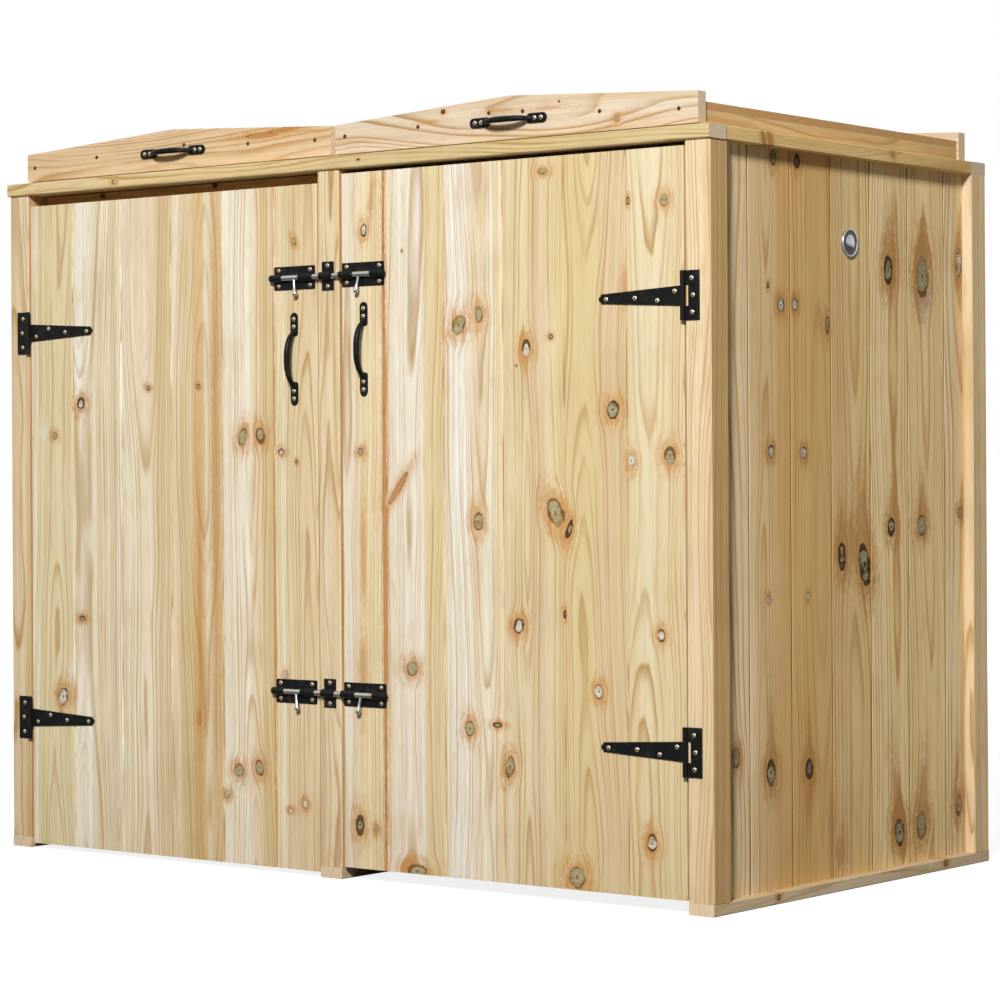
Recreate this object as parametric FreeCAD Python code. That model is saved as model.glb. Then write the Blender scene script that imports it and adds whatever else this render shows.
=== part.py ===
import FreeCAD
import Part
import math
import os

# Double wheelie bin store in softwood: two boarded doors on T-hinges with barrel bolts,
# two boarded lids with shallow gabled boards, three pairs of posts on floor rails.
# Millimetres. X to the right seen from the front, Y from front to back, Z up.
# While it is drawn, Y = 0 is the front face of the posts. The finished pieces are then
# moved so that the origin is the middle of the whole footprint, on the ground.

# Overall sizes of the carcass
carcass_width = 1480.0
carcass_depth = 805.0
carcass_height = 1155.0

# Timber sections
post_size = 45.0
bottom_rail_height = 18.0
top_rail_height = 21.0
top_rail_width = 45.0
front_rail_overhang = 5.0
front_rail_end_overhang = 2.0
arris = 1.5
header_height = 70.0
header_thickness = 20.0

# Tongued and grooved boards
board_thickness = 12.0
tongue_length = 5.0
tongue_thickness = 4.0
groove_play = 0.3
joint_chamfer = 1.8
board_play = 0.05
least_edge_board = 60.0
door_board_cover = 117.0
wall_board_cover = 115.0
lid_board_cover = 113.0
door_first_share = 0.53
wall_first_share = 0.56
lid_first_share = 0.57
back_first_share = 0.5

# Walls
wall_set_back = 18.0
wall_batten_height = 45.0
wall_batten_low = 150.0
wall_batten_below_top = 124.0

# Doors
door_gap = 4.0
door_set_back = 1.5
door_top_gap = 8.0
door_clearance_right = 20.0
left_door_drop = 12.0
ledge_height = 95.0
ledge_thickness = 20.0
ledge_inset = 24.0
brace_width = 95.0
hinge_low = 218.0
hinge_below_top = 220.0
door_handle_below_top = 281.0
door_handle_inset = 47.5

# T-hinges
strap_length = 155.0
strap_root_width = 30.0
strap_tip_width = 14.0
strap_nub = 4.0
hinge_plate = 2.0
knuckle_radius = 4.0
hinge_pin_radius = 2.0
hinge_play = 0.05
knuckle_gap = 0.5
flange_height = 73.0
flange_reach = 28.0
flange_slot = 4.5

# Barrel bolts and the keepers that two bolts share
bolt_upper_below_top = 170.0
bolt_lower_height = 296.0
bolt_inset = 2.5
bolt_plate_length = 88.0
bolt_plate_height = 38.0
bolt_metal = 1.5
rod_radius = 4.5
rod_play = 0.1
rod_standoff = 0.5
rod_short_of_keeper = 1.2
rod_back_travel = 18.0
rod_end_gap = 1.3
front_sleeve_length = 28.0
rear_sleeve_length = 22.0
end_cap_length = 4.0
stem_radius = 2.4
stem_from_sleeve = 12.5
knob_radius = 4.3
knob_reach = 26.0
knob_lean = 10.0
knob_tilt = 6.0
keeper_width = 25.0
keeper_height = 46.0
keeper_play = 0.7

# Pull handles
handle_length = 150.0
handle_width = 15.5
handle_pad_length = 38.0
handle_pad_thickness = 2.5
grip_radius = 4.8
grip_reach = 19.4
grip_bends = 8
section_sides = 12

# Lids
lid_clearance = 4.0
lid_seat = 0.3
lid_end_inset = 30.0
lid_middle_gap = 9.6
lid_front_inset = 14.0
lid_back_inset = 14.0
fascia_thickness = 20.0
fascia_end_height = 47.0
fascia_peak_height = 67.0
lid_board_rise = 21.0
lid_batten_width = 34.0
lid_board_inset = 4.0
lid_handle_height = 29.0

# Lid hinges
butt_length = 60.0
butt_leaf = 24.0
butt_from_end = 120.0
butt_knuckle_radius = 4.0
butt_stand_off = 4.5

# Round disc on the right-hand wall
disc_radius = 23.0
disc_rim = 2.0
disc_dome = 3.0
disc_sides = 30
disc_back_distance = 397.0
disc_below_top = 131.0

# Derived places
right = carcass_width / 2
left = -right
half_post = post_size / 2
post_top = carcass_height - top_rail_height
post_height = post_top - bottom_rail_height
bay_inner = half_post
bay_outer = right - post_size
wall_face = right - wall_set_back
wall_back = wall_face - board_thickness
wall_batten_depth = wall_back - bay_outer
rear_face = carcass_depth - wall_set_back
rear_back = rear_face - board_thickness
post_back_front = carcass_depth - post_size
front_rail_back = top_rail_width - front_rail_overhang
back_rail_front = carcass_depth - top_rail_width

door_height = post_top - door_top_gap - door_clearance_right
hinge_high = door_height - hinge_below_top
door_handle_height = door_height - door_handle_below_top
door_near = bay_inner + door_gap
door_far = bay_outer - door_gap
door_width = door_far - door_near
door_face = door_set_back
door_back = door_face + board_thickness

hinge_axis_x = bay_outer - door_gap / 2
hinge_axis_y = -knuckle_radius

bolt_plate_face = door_face - bolt_metal
rod_axis_y = bolt_plate_face - rod_standoff - rod_radius
bolt_start = door_near + bolt_inset
bolt_upper_height = post_top - bolt_upper_below_top
sleeve_radius = rod_radius + rod_play + bolt_metal
rod_tip = keeper_width / 2 + rod_short_of_keeper
rod_end = bolt_start + bolt_plate_length - rod_end_gap - rod_back_travel
stem_place = bolt_start + front_sleeve_length + stem_from_sleeve

lid_near = lid_middle_gap / 2
lid_far = right - lid_end_inset
lid_front = lid_front_inset
lid_back = carcass_depth - lid_back_inset
lid_bottom = carcass_height + lid_clearance
lid_batten_foot = carcass_height + lid_seat
lid_batten_top = lid_bottom + lid_board_rise
lid_inner_front = lid_front + fascia_thickness
lid_inner_back = lid_back - fascia_thickness
lid_axis_y = lid_back + butt_stand_off
lid_axis_z = carcass_height + butt_stand_off
lid_middle = (lid_near + lid_far) / 2

handle_front = door_face - grip_reach - grip_radius
footprint_middle = (handle_front + carcass_depth) / 2

X_AXIS = FreeCAD.Vector(1, 0, 0)
Y_AXIS = FreeCAD.Vector(0, 1, 0)
Z_AXIS = FreeCAD.Vector(0, 0, 1)
ORIGIN = FreeCAD.Vector(0, 0, 0)


def point(x, y, z):
    return FreeCAD.Vector(x, y, z)


def block(x0, x1, y0, y1, z0, z1):
    """A plain block between two corners."""
    return Part.makeBox(x1 - x0, y1 - y0, z1 - z0, point(x0, y0, z0))


def timber(x0, x1, y0, y1, z0, z1):
    """A planed length of timber whose long edges have their arris taken off."""
    solid = block(x0, x1, y0, y1, z0, z1)
    sizes = {"x": x1 - x0, "y": y1 - y0, "z": z1 - z0}
    run = max(sizes, key=sizes.get)
    long_edges = [edge for edge in solid.Edges if abs(edge.Length - sizes[run]) < 1e-6]
    return solid.makeChamfer(arris, long_edges)


def prism(points, direction):
    """A flat outline pushed along a direction."""
    outline = Part.makePolygon(points + [points[0]])
    return Part.Face(outline).extrude(direction)


def mirrored(shape):
    """The same piece for the other side."""
    return shape.mirror(ORIGIN, X_AXIS)


def moved(shape, x, y, z):
    copy = shape.copy()
    copy.translate(point(x, y, z))
    return copy


def rod_between(x0, x1, y, z, radius):
    """A round bar along X."""
    return Part.makeCylinder(radius, x1 - x0, point(x0, y, z), X_AXIS)


def ring(centre, side, up, radius, sides=section_sides):
    """Corners of a many-sided ring round a centre, in the plane of two square directions."""
    turns = [2 * math.pi * i / sides for i in range(sides)]
    return [centre + side * (radius * math.cos(t)) + up * (radius * math.sin(t)) for t in turns]


def flat_face(corners):
    return Part.Face(Part.makePolygon(corners + [corners[0]]))


def through_rings(rings):
    """A solid with flat sides from each ring to the next."""
    faces = [flat_face(rings[0]), flat_face(rings[-1])]
    for low, high in zip(rings, rings[1:]):
        faces += [flat_face([low[i - 1], low[i], high[i], high[i - 1]]) for i in range(len(low))]
    solid = Part.makeSolid(Part.makeShell(faces))
    if solid.Volume < 0:
        solid.reverse()
    return solid


def riveted_pin(start, end, side, up):
    """A hinge's pin, hidden in its knuckles, so it has few sides."""
    return through_rings([ring(place, side, up, hinge_pin_radius) for place in (start, end)])


def split_into_boards(span, cover, first_share):
    """Start and width of each board in a row: ripped boards at both ends, whole ones between."""
    whole = int((span - 2 * least_edge_board) // cover)
    rest = span - whole * cover
    first = min(rest * first_share, cover + tongue_length)
    widths = [first] + [cover] * whole + [rest - first]
    starts = [sum(widths[:i]) for i in range(len(widths))]
    return list(zip(starts, widths))


def board_outline(width, grooved, tongued):
    """One board's section as (across, in from the face) pairs."""
    middle = board_thickness / 2
    half_tongue = tongue_thickness / 2
    half_groove = half_tongue + groove_play / 2
    near = board_play / 2
    far = width - board_play / 2
    outline = [(near, joint_chamfer), (near + joint_chamfer, 0), (far - joint_chamfer, 0), (far, joint_chamfer)]
    if tongued:
        outline += [
            (far, middle - half_tongue),
            (far + tongue_length, middle - half_tongue),
            (far + tongue_length, middle + half_tongue),
            (far, middle + half_tongue),
        ]
    outline += [(far, board_thickness), (near, board_thickness)]
    if grooved:
        depth = tongue_length + groove_play
        outline += [
            (near, middle + half_groove),
            (near + depth, middle + half_groove),
            (near + depth, middle - half_groove),
            (near, middle - half_groove),
        ]
    return outline


def boarding(corner, across, inward, along, span, length, cover, first_share):
    """A row of tongued and grooved boards from a corner of its face, each board its own solid."""
    row = split_into_boards(span, cover, first_share)
    boards = []
    for number, (start, width) in enumerate(row):
        outline = board_outline(width, number > 0, number < len(row) - 1)
        points = [corner + across * (start + u) + inward * v for u, v in outline]
        boards.append(prism(points, along * length))
    return Part.makeCompound(boards)


def post(x, y):
    """An upright whose front left corner is at x, y."""
    return timber(x, x + post_size, y, y + post_size, bottom_rail_height, post_top)


def bottom_rail(x):
    return timber(x, x + post_size, 0, carcass_depth, 0, bottom_rail_height)


def front_top_rail():
    reach = right + front_rail_end_overhang
    return timber(-reach, reach, -front_rail_overhang, front_rail_back, post_top, carcass_height)


def back_top_rail():
    return timber(left, right, back_rail_front, carcass_depth, post_top, carcass_height)


def side_top_rail(x):
    """A top rail that runs back between the front and back rails."""
    return timber(x, x + top_rail_width, front_rail_back, back_rail_front, post_top, carcass_height)


def door_header():
    """The board behind the posts that the tops of the doors close in front of."""
    reach = wall_back - arris
    return timber(-reach, reach, post_size, post_size + header_thickness, post_top - header_height, post_top)


def right_wall_boards():
    corner = point(wall_face, post_size, bottom_rail_height)
    span = post_back_front - post_size
    return boarding(corner, Y_AXIS, -X_AXIS, Z_AXIS, span, post_height, wall_board_cover, wall_first_share)


def back_wall_boards():
    span = bay_outer - bay_inner
    corner = point(bay_inner, rear_face, bottom_rail_height)
    one = boarding(corner, X_AXIS, -Y_AXIS, Z_AXIS, span, post_height, wall_board_cover, back_first_share)
    return Part.makeCompound(one.Solids + mirrored(one).Solids)


def batten_levels():
    """Heights of the lower edges of the battens that hold the wall boards together."""
    high = post_top - wall_batten_below_top
    levels = (wall_batten_low, (wall_batten_low + high) / 2, high)
    return [level - wall_batten_height / 2 for level in levels]


def wall_battens():
    battens = []
    for z in batten_levels():
        top = z + wall_batten_height
        side = block(bay_outer, wall_back, post_size, post_back_front, z, top)
        back = block(bay_inner, bay_outer, post_back_front, rear_back, z, top)
        battens += [side, mirrored(side), back, mirrored(back)]
    return Part.makeCompound(battens)


def door_boards(bottom):
    corner = point(door_far, door_face, bottom)
    return boarding(corner, -X_AXIS, Y_AXIS, Z_AXIS, door_width, door_height, door_board_cover, door_first_share)


def ledge_span():
    return door_near + ledge_inset, door_far - ledge_inset


def door_ledges(bottom):
    near, far = ledge_span()
    ledges = []
    for level in (hinge_low, hinge_high):
        z = bottom + level - ledge_height / 2
        ledges.append(timber(near, far, door_back, door_back + ledge_thickness, z, z + ledge_height))
    return Part.makeCompound(ledges)


def door_brace(bottom):
    """The slanting brace between the ledges, its foot at the hinge side."""
    near, far = ledge_span()
    low = bottom + hinge_low + ledge_height / 2
    high = bottom + hinge_high - ledge_height / 2
    rise = high - low
    foot = far - arris
    head = near + arris
    # the horizontal cut across a brace of this width, found from its slope
    cut = brace_width
    for _ in range(20):
        slope = math.atan2(rise, foot - cut - head)
        cut = brace_width / math.sin(slope)
    y = door_back
    outline = [
        point(foot - cut, y, low),
        point(foot, y, low),
        point(head + cut, y, high),
        point(head, y, high),
    ]
    return prism(outline, Y_AXIS * ledge_thickness)


def strap_outline(axis_z):
    """The tapering strap seen from the front, with its small rounded nub at the tip."""
    root = hinge_axis_x - knuckle_radius
    tip = hinge_axis_x - strap_length
    shoulder = tip + strap_nub
    wide = strap_root_width / 2
    narrow = strap_tip_width / 2
    y = door_face
    path = [
        Part.makePolygon([
            point(shoulder, y, axis_z + strap_nub),
            point(shoulder, y, axis_z + narrow),
            point(root, y, axis_z + wide),
            point(root, y, axis_z - wide),
            point(shoulder, y, axis_z - narrow),
            point(shoulder, y, axis_z - strap_nub),
        ]),
        Part.Arc(
            point(shoulder, y, axis_z - strap_nub),
            point(tip, y, axis_z),
            point(shoulder, y, axis_z + strap_nub),
        ).toShape(),
    ]
    edges = path[0].Edges + [path[1]]
    return Part.Wire(Part.__sortEdges__(edges))


def knuckle(axis_z, low, high):
    """A rolled knuckle on the door's hinge axis, still without its bore."""
    base = point(hinge_axis_x, hinge_axis_y, axis_z + low)
    return Part.makeCylinder(knuckle_radius, high - low, base, Z_AXIS)


def hinge_bore(axis_z, radius):
    base = point(hinge_axis_x, hinge_axis_y, axis_z - flange_height)
    return Part.makeCylinder(radius, 2 * flange_height, base, Z_AXIS)


def hinge_strap(axis_z):
    """The moving half of a T-hinge: strap, the set at its root and the middle knuckle."""
    wide = strap_root_width / 2
    strap = Part.Face(strap_outline(axis_z)).extrude(-Y_AXIS * hinge_plate)
    root = hinge_axis_x - knuckle_radius
    neck = block(root, hinge_axis_x, hinge_axis_y, door_face, axis_z - wide, axis_z + wide)
    body = strap.fuse([neck, knuckle(axis_z, -wide, wide)])
    return body.cut(hinge_bore(axis_z, hinge_pin_radius + hinge_play)).removeSplitter()


def hinge_flange(axis_z):
    """The fixed half: a plate on the post, a knuckle above and below the strap's, and their riveted pin."""
    half = flange_height / 2
    inner = strap_root_width / 2 + knuckle_gap
    plate = block(hinge_axis_x, hinge_axis_x + flange_reach, -hinge_plate, 0, axis_z - half, axis_z + half)
    window = block(
        hinge_axis_x - knuckle_radius,
        hinge_axis_x + knuckle_radius + flange_slot,
        -hinge_plate - 1,
        1,
        axis_z - inner,
        axis_z + inner,
    )
    knuckles = [knuckle(axis_z, inner, half), knuckle(axis_z, -half, -inner)]
    ends = [point(hinge_axis_x, hinge_axis_y, axis_z + place) for place in (-inner, inner)]
    pin = riveted_pin(*ends, X_AXIS, Y_AXIS)
    return plate.cut(window).fuse(knuckles + [pin]).removeSplitter()


def bent_strip(x0, x1, z, inner, floor):
    """Metal bent over the bolt's axis, open at the back, with straight sides down to a floor."""
    outer = inner + bolt_metal
    bend = rod_between(x0, x1, rod_axis_y, z, outer)
    sides = block(x0, x1, rod_axis_y, floor, z - outer, z + outer)
    tunnel = rod_between(x0, x1, rod_axis_y, z, inner)
    way = block(x0, x1, rod_axis_y, floor + outer, z - inner, z + inner)
    past_floor = block(x0, x1, floor, floor + outer, z - outer, z + outer)
    return bend.fuse(sides).cut(tunnel.fuse([way, past_floor]))


def bolt_plate(z):
    """The plate on the door with its front sleeve and its rear one, which is closed at its end."""
    end = bolt_start + bolt_plate_length
    half = bolt_plate_height / 2
    inner = rod_radius + rod_play
    plate = block(bolt_start, end, bolt_plate_face, door_face, z - half, z + half)
    front = bent_strip(bolt_start, bolt_start + front_sleeve_length, z, inner, bolt_plate_face)
    rear = bent_strip(end - rear_sleeve_length, end, z, inner, bolt_plate_face)
    cap = rod_between(end, end + end_cap_length, rod_axis_y, z, sleeve_radius)
    return plate.fuse([front, rear, cap]).removeSplitter()


def bolt_rod(z):
    """The sliding rod, drawn back just clear of the keeper."""
    return rod_between(rod_tip, rod_end, rod_axis_y, z, rod_radius)


def bolt_knob(z):
    """The stem and its rounded head that turn the rod, hanging down and leaning back along it."""
    axis = point(stem_place, rod_axis_y, z)
    head = knob_reach
    profile = [
        (0, stem_radius),
        (head - knob_radius, stem_radius * 0.9),
        (head - knob_radius / 2, knob_radius * 0.87),
        (head, knob_radius),
        (head + knob_radius / 2, knob_radius * 0.87),
        (head + knob_radius * 0.87, knob_radius / 2),
    ]
    body = through_rings([ring(axis - Z_AXIS * reach, X_AXIS, Y_AXIS, radius) for reach, radius in profile])
    body.rotate(axis, Y_AXIS, knob_lean)
    body.rotate(axis, X_AXIS, -knob_tilt)
    seat = rod_between(stem_place - knob_reach, stem_place + knob_reach, rod_axis_y, z, rod_radius + hinge_play)
    return body.cut(seat)


def keeper(z):
    """The shared keeper: a strip bent over the rods, with a foot above and below on the post."""
    inner = rod_radius + keeper_play
    half = keeper_height / 2
    x = keeper_width / 2
    feet = [block(-x, x, -bolt_metal, 0, z + low, z + high) for low, high in ((-half, -inner), (inner, half))]
    return bent_strip(-x, x, z, inner, 0).fuse(feet).removeSplitter()


def handle_grip():
    """The bowed grip, from ring to ring along an arc that springs from the face."""
    half = handle_length / 2 - handle_pad_length + grip_radius
    bow = (half ** 2 + grip_reach ** 2) / (2 * grip_reach)
    spread = math.asin(half / bow)
    rings = []
    for i in range(grip_bends + 1):
        turn = spread * (2 * i / grip_bends - 1)
        outward = point(0, -math.cos(turn), math.sin(turn))
        rings.append(ring(point(0, bow - grip_reach, 0) + outward * bow, X_AXIS, outward, grip_radius))
    return through_rings(rings)


def handle_pad():
    """The upper pad, flat on the face with a rounded end."""
    wide = handle_width / 2
    end = handle_length / 2 - wide
    foot = handle_length / 2 - handle_pad_length
    strip = block(-wide, wide, -handle_pad_thickness, 0, foot, end)
    return strip.fuse(Part.makeCylinder(wide, handle_pad_thickness, point(0, 0, end), -Y_AXIS))


def pull_handle():
    """A pull handle along Z on a face at Y = 0: two flat rounded pads and a bowed grip."""
    behind = block(-handle_width, handle_width, 0, handle_length, -handle_length, handle_length)
    pads = [handle_pad(), handle_pad().mirror(ORIGIN, Z_AXIS)]
    return handle_grip().cut(behind).fuse(pads).removeSplitter()


def door_handle(bottom):
    x = door_near + door_handle_inset
    return moved(pull_handle(), x, door_face, bottom + door_handle_height)


def lid_handle():
    handle = pull_handle()
    handle.rotate(ORIGIN, Y_AXIS, 90)
    return moved(handle, lid_middle, lid_front, lid_bottom + lid_handle_height)


def fascia(y):
    """A gabled board across the front or back of a lid."""
    outline = [
        point(lid_near, y, lid_bottom),
        point(lid_far, y, lid_bottom),
        point(lid_far, y, lid_bottom + fascia_end_height),
        point(lid_middle, y, lid_bottom + fascia_peak_height),
        point(lid_near, y, lid_bottom + fascia_end_height),
    ]
    return prism(outline, Y_AXIS * fascia_thickness)


def lid_fascias():
    return Part.makeCompound([fascia(lid_front), fascia(lid_inner_back)])


def lid_battens():
    """The frame under the lid's boards: side battens between the gabled boards, cross battens between those."""
    near = lid_near + lid_board_inset
    far = lid_far - lid_board_inset
    sides = [
        block(x, x + lid_batten_width, lid_inner_front, lid_inner_back, lid_batten_foot, lid_batten_top)
        for x in (near, far - lid_batten_width)
    ]
    crosses = [
        block(near + lid_batten_width, far - lid_batten_width, y, y + lid_batten_width, lid_batten_foot, lid_batten_top)
        for y in (lid_inner_front, lid_inner_back - lid_batten_width)
    ]
    return Part.makeCompound(sides + crosses)


def lid_boards():
    near = lid_near + lid_board_inset
    far = lid_far - lid_board_inset
    corner = point(near, lid_inner_front, lid_batten_top + board_thickness)
    span = lid_inner_back - lid_inner_front
    return boarding(corner, Y_AXIS, -Z_AXIS, X_AXIS, span, far - near, lid_board_cover, lid_first_share)


def butt_places():
    """The left-hand ends of a lid's two hinges."""
    return [lid_near + butt_from_end, lid_far - butt_from_end - butt_length]


def butt_knuckle(x0, x1):
    return rod_between(x0, x1, lid_axis_y, lid_axis_z, butt_knuckle_radius)


def butt_bore(x):
    radius = hinge_pin_radius + hinge_play
    return rod_between(x - 1, x + butt_length + 1, lid_axis_y, lid_axis_z, radius)


def butt_middle(x):
    third = butt_length / 3
    return x + third, x + 2 * third


def fixed_leaf(x):
    """The leaf that lies on the back top rail, with the two outer knuckles and their riveted pin."""
    end = x + butt_length
    low, high = butt_middle(x)
    plate = block(x, end, lid_axis_y - butt_leaf, lid_axis_y, carcass_height, carcass_height + hinge_plate)
    window = block(
        low,
        high,
        lid_axis_y - butt_knuckle_radius - knuckle_gap,
        lid_axis_y + 1,
        carcass_height - 1,
        carcass_height + hinge_plate + 1,
    )
    pin = riveted_pin(point(low, lid_axis_y, lid_axis_z), point(high, lid_axis_y, lid_axis_z), Y_AXIS, Z_AXIS)
    return plate.cut(window).fuse([butt_knuckle(x, low), butt_knuckle(high, end), pin]).removeSplitter()


def moving_leaf(x):
    """The leaf that stands on the back of the lid, with the middle knuckle."""
    low, high = butt_middle(x)
    low += knuckle_gap
    high -= knuckle_gap
    foot = lid_axis_z + butt_knuckle_radius + knuckle_gap
    plate = block(x, x + butt_length, lid_back, lid_back + hinge_plate, foot, lid_axis_z + butt_leaf)
    neck = block(low, high, lid_back, lid_back + hinge_plate, lid_axis_z, foot)
    return plate.fuse([neck, butt_knuckle(low, high)]).cut(butt_bore(x)).removeSplitter()


def wall_disc():
    """The plain domed disc on the outside of the right-hand wall."""
    profile = [
        (0, disc_radius),
        (disc_rim, disc_radius),
        (disc_rim + disc_dome * 0.6, disc_radius * 0.75),
        (disc_rim + disc_dome, disc_radius * 0.35),
    ]
    disc = through_rings([ring(X_AXIS * rise, Y_AXIS, Z_AXIS, radius, disc_sides) for rise, radius in profile])
    return moved(disc, wall_face, carcass_depth - disc_back_distance, post_top - disc_below_top)


def carcass_pieces():
    """Everything that stands still."""
    pieces = {}
    columns = {"left": left, "centre": -half_post, "right": right - post_size}
    for side, x in columns.items():
        pieces[f"front_post_{side}"] = post(x, 0)
        pieces[f"back_post_{side}"] = post(x, post_back_front)
        pieces[f"bottom_rail_{side}"] = bottom_rail(x)
        pieces[f"top_rail_{side}"] = side_top_rail(x)
    pieces["top_rail_front"] = front_top_rail()
    pieces["top_rail_back"] = back_top_rail()
    pieces["door_header"] = door_header()
    pieces["side_boards_right"] = right_wall_boards()
    pieces["side_boards_left"] = mirrored(right_wall_boards())
    pieces["back_boards"] = back_wall_boards()
    pieces["wall_battens"] = wall_battens()
    pieces["bolt_keepers"] = Part.makeCompound([keeper(z) for z in bolt_levels()])
    pieces["wall_disc"] = wall_disc()
    return pieces


def bolt_levels():
    return [bolt_upper_height, bolt_lower_height]


def hinge_levels(bottom):
    return [bottom + hinge_high, bottom + hinge_low]


def door_bottoms():
    """How far each door hangs above the ground."""
    return {"left": door_clearance_right - left_door_drop, "right": door_clearance_right}


def hinge_pieces():
    """The halves of the door and lid hinges that stay on the carcass."""
    flanges = []
    leaves = []
    for side, bottom in door_bottoms().items():
        flanges += [on_side(hinge_flange(z), side) for z in hinge_levels(bottom)]
        leaves += [on_side(fixed_leaf(x), side) for x in butt_places()]
    return {
        "door_hinge_flanges": Part.makeCompound(flanges),
        "lid_hinge_fixed_leaves": Part.makeCompound(leaves),
    }


def on_side(shape, side):
    """A piece drawn for the right-hand side, put on the side it is for."""
    return mirrored(shape) if side == "left" else shape


def door_pieces(side, bottom):
    """One door with all that it carries."""
    pieces = {
        f"door_boards_{side}": door_boards(bottom),
        f"door_ledges_{side}": door_ledges(bottom),
        f"door_brace_{side}": door_brace(bottom),
        f"hinge_straps_{side}": Part.makeCompound([hinge_strap(z) for z in hinge_levels(bottom)]),
        f"door_handle_{side}": door_handle(bottom),
        f"bolt_plates_{side}": Part.makeCompound([bolt_plate(z) for z in bolt_levels()]),
    }
    for level, z in zip(("upper", "lower"), bolt_levels()):
        pieces[f"bolt_rod_{side}_{level}"] = bolt_rod(z)
        pieces[f"bolt_knob_{side}_{level}"] = bolt_knob(z)
    return {name: on_side(shape, side) for name, shape in pieces.items()}


def lid_pieces(side):
    """One lid with all that it carries."""
    pieces = {
        f"lid_boards_{side}": lid_boards(),
        f"lid_battens_{side}": lid_battens(),
        f"lid_fascias_{side}": lid_fascias(),
        f"lid_handle_{side}": lid_handle(),
        f"lid_hinge_leaves_{side}": Part.makeCompound([moving_leaf(x) for x in butt_places()]),
    }
    return {name: on_side(shape, side) for name, shape in pieces.items()}


def bin_store():
    """Every piece by its name, in the finished frame."""
    pieces = carcass_pieces()
    pieces.update(hinge_pieces())
    for side, bottom in door_bottoms().items():
        pieces.update(door_pieces(side, bottom))
        pieces.update(lid_pieces(side))
    return {name: moved(shape, 0, -footprint_middle, 0) for name, shape in pieces.items()}


def print_axes():
    """The places that the joints turn about and slide along, in the finished frame."""
    print("door hinge axis x", hinge_axis_x, "y", hinge_axis_y - footprint_middle)
    print("lid hinge axis y", lid_axis_y - footprint_middle, "z", lid_axis_z)
    print("bolt rod axis y", rod_axis_y - footprint_middle, "z", bolt_upper_height, bolt_lower_height)
    print("knob stem x", stem_place)


os.makedirs("parts", exist_ok=True)
for name, shape in bin_store().items():
    shape.exportStep(f"parts/{name}.step")
print_axes()
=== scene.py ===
"""The looks of a pine store for two wheeled bins: timber, ironwork, fixings and the studio."""

import inspect
import math
from contextlib import contextmanager

import bpy
from bpy.props import FloatProperty, FloatVectorProperty, PointerProperty
from mathutils import Matrix, Vector


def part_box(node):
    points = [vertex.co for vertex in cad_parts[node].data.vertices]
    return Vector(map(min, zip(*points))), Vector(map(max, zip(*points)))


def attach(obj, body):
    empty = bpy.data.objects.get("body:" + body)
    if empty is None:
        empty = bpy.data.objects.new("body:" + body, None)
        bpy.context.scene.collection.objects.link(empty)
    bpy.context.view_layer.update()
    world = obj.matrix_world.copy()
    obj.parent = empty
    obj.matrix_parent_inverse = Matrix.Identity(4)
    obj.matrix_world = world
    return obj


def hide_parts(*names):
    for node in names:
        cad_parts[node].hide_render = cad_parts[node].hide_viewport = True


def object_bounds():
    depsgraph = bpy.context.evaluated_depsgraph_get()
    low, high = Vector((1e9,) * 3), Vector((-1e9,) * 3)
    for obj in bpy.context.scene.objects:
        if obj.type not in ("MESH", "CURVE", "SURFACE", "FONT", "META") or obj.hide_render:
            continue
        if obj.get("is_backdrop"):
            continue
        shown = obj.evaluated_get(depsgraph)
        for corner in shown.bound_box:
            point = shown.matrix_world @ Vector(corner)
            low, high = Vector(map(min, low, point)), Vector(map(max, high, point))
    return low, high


bl_info = {
    "name": "Wheelie bin store",
    "version": (1, 0, 0),
    "blender": (4, 5, 0),
    "location": "3D View > Sidebar > Bin store",
    "description": "Pine boards, black ironwork and fixings for a store for two wheeled bins",
    "category": "Object",
}

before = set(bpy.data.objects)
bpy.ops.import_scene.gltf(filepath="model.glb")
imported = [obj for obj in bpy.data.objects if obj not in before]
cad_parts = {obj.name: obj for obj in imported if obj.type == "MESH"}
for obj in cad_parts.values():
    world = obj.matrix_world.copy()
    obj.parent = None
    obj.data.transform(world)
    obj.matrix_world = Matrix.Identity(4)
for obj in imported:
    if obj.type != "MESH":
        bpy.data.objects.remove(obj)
cad_box = [list(corner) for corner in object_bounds()]

SIDES = {"left": -1, "right": 1}
MM = 0.001
AXES = "XYZ"

# Settings


def colour(label, words, value):
    """A colour that the user can change."""
    return FloatVectorProperty(
        name=label, description=words, subtype="COLOR", size=4, min=0, max=1, default=(*value, 1)
    )


def amount(label, words, value, unit="NONE"):
    """A number that the user can change."""
    return FloatProperty(name=label, description=words, default=value, min=0, unit=unit, precision=4)


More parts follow.
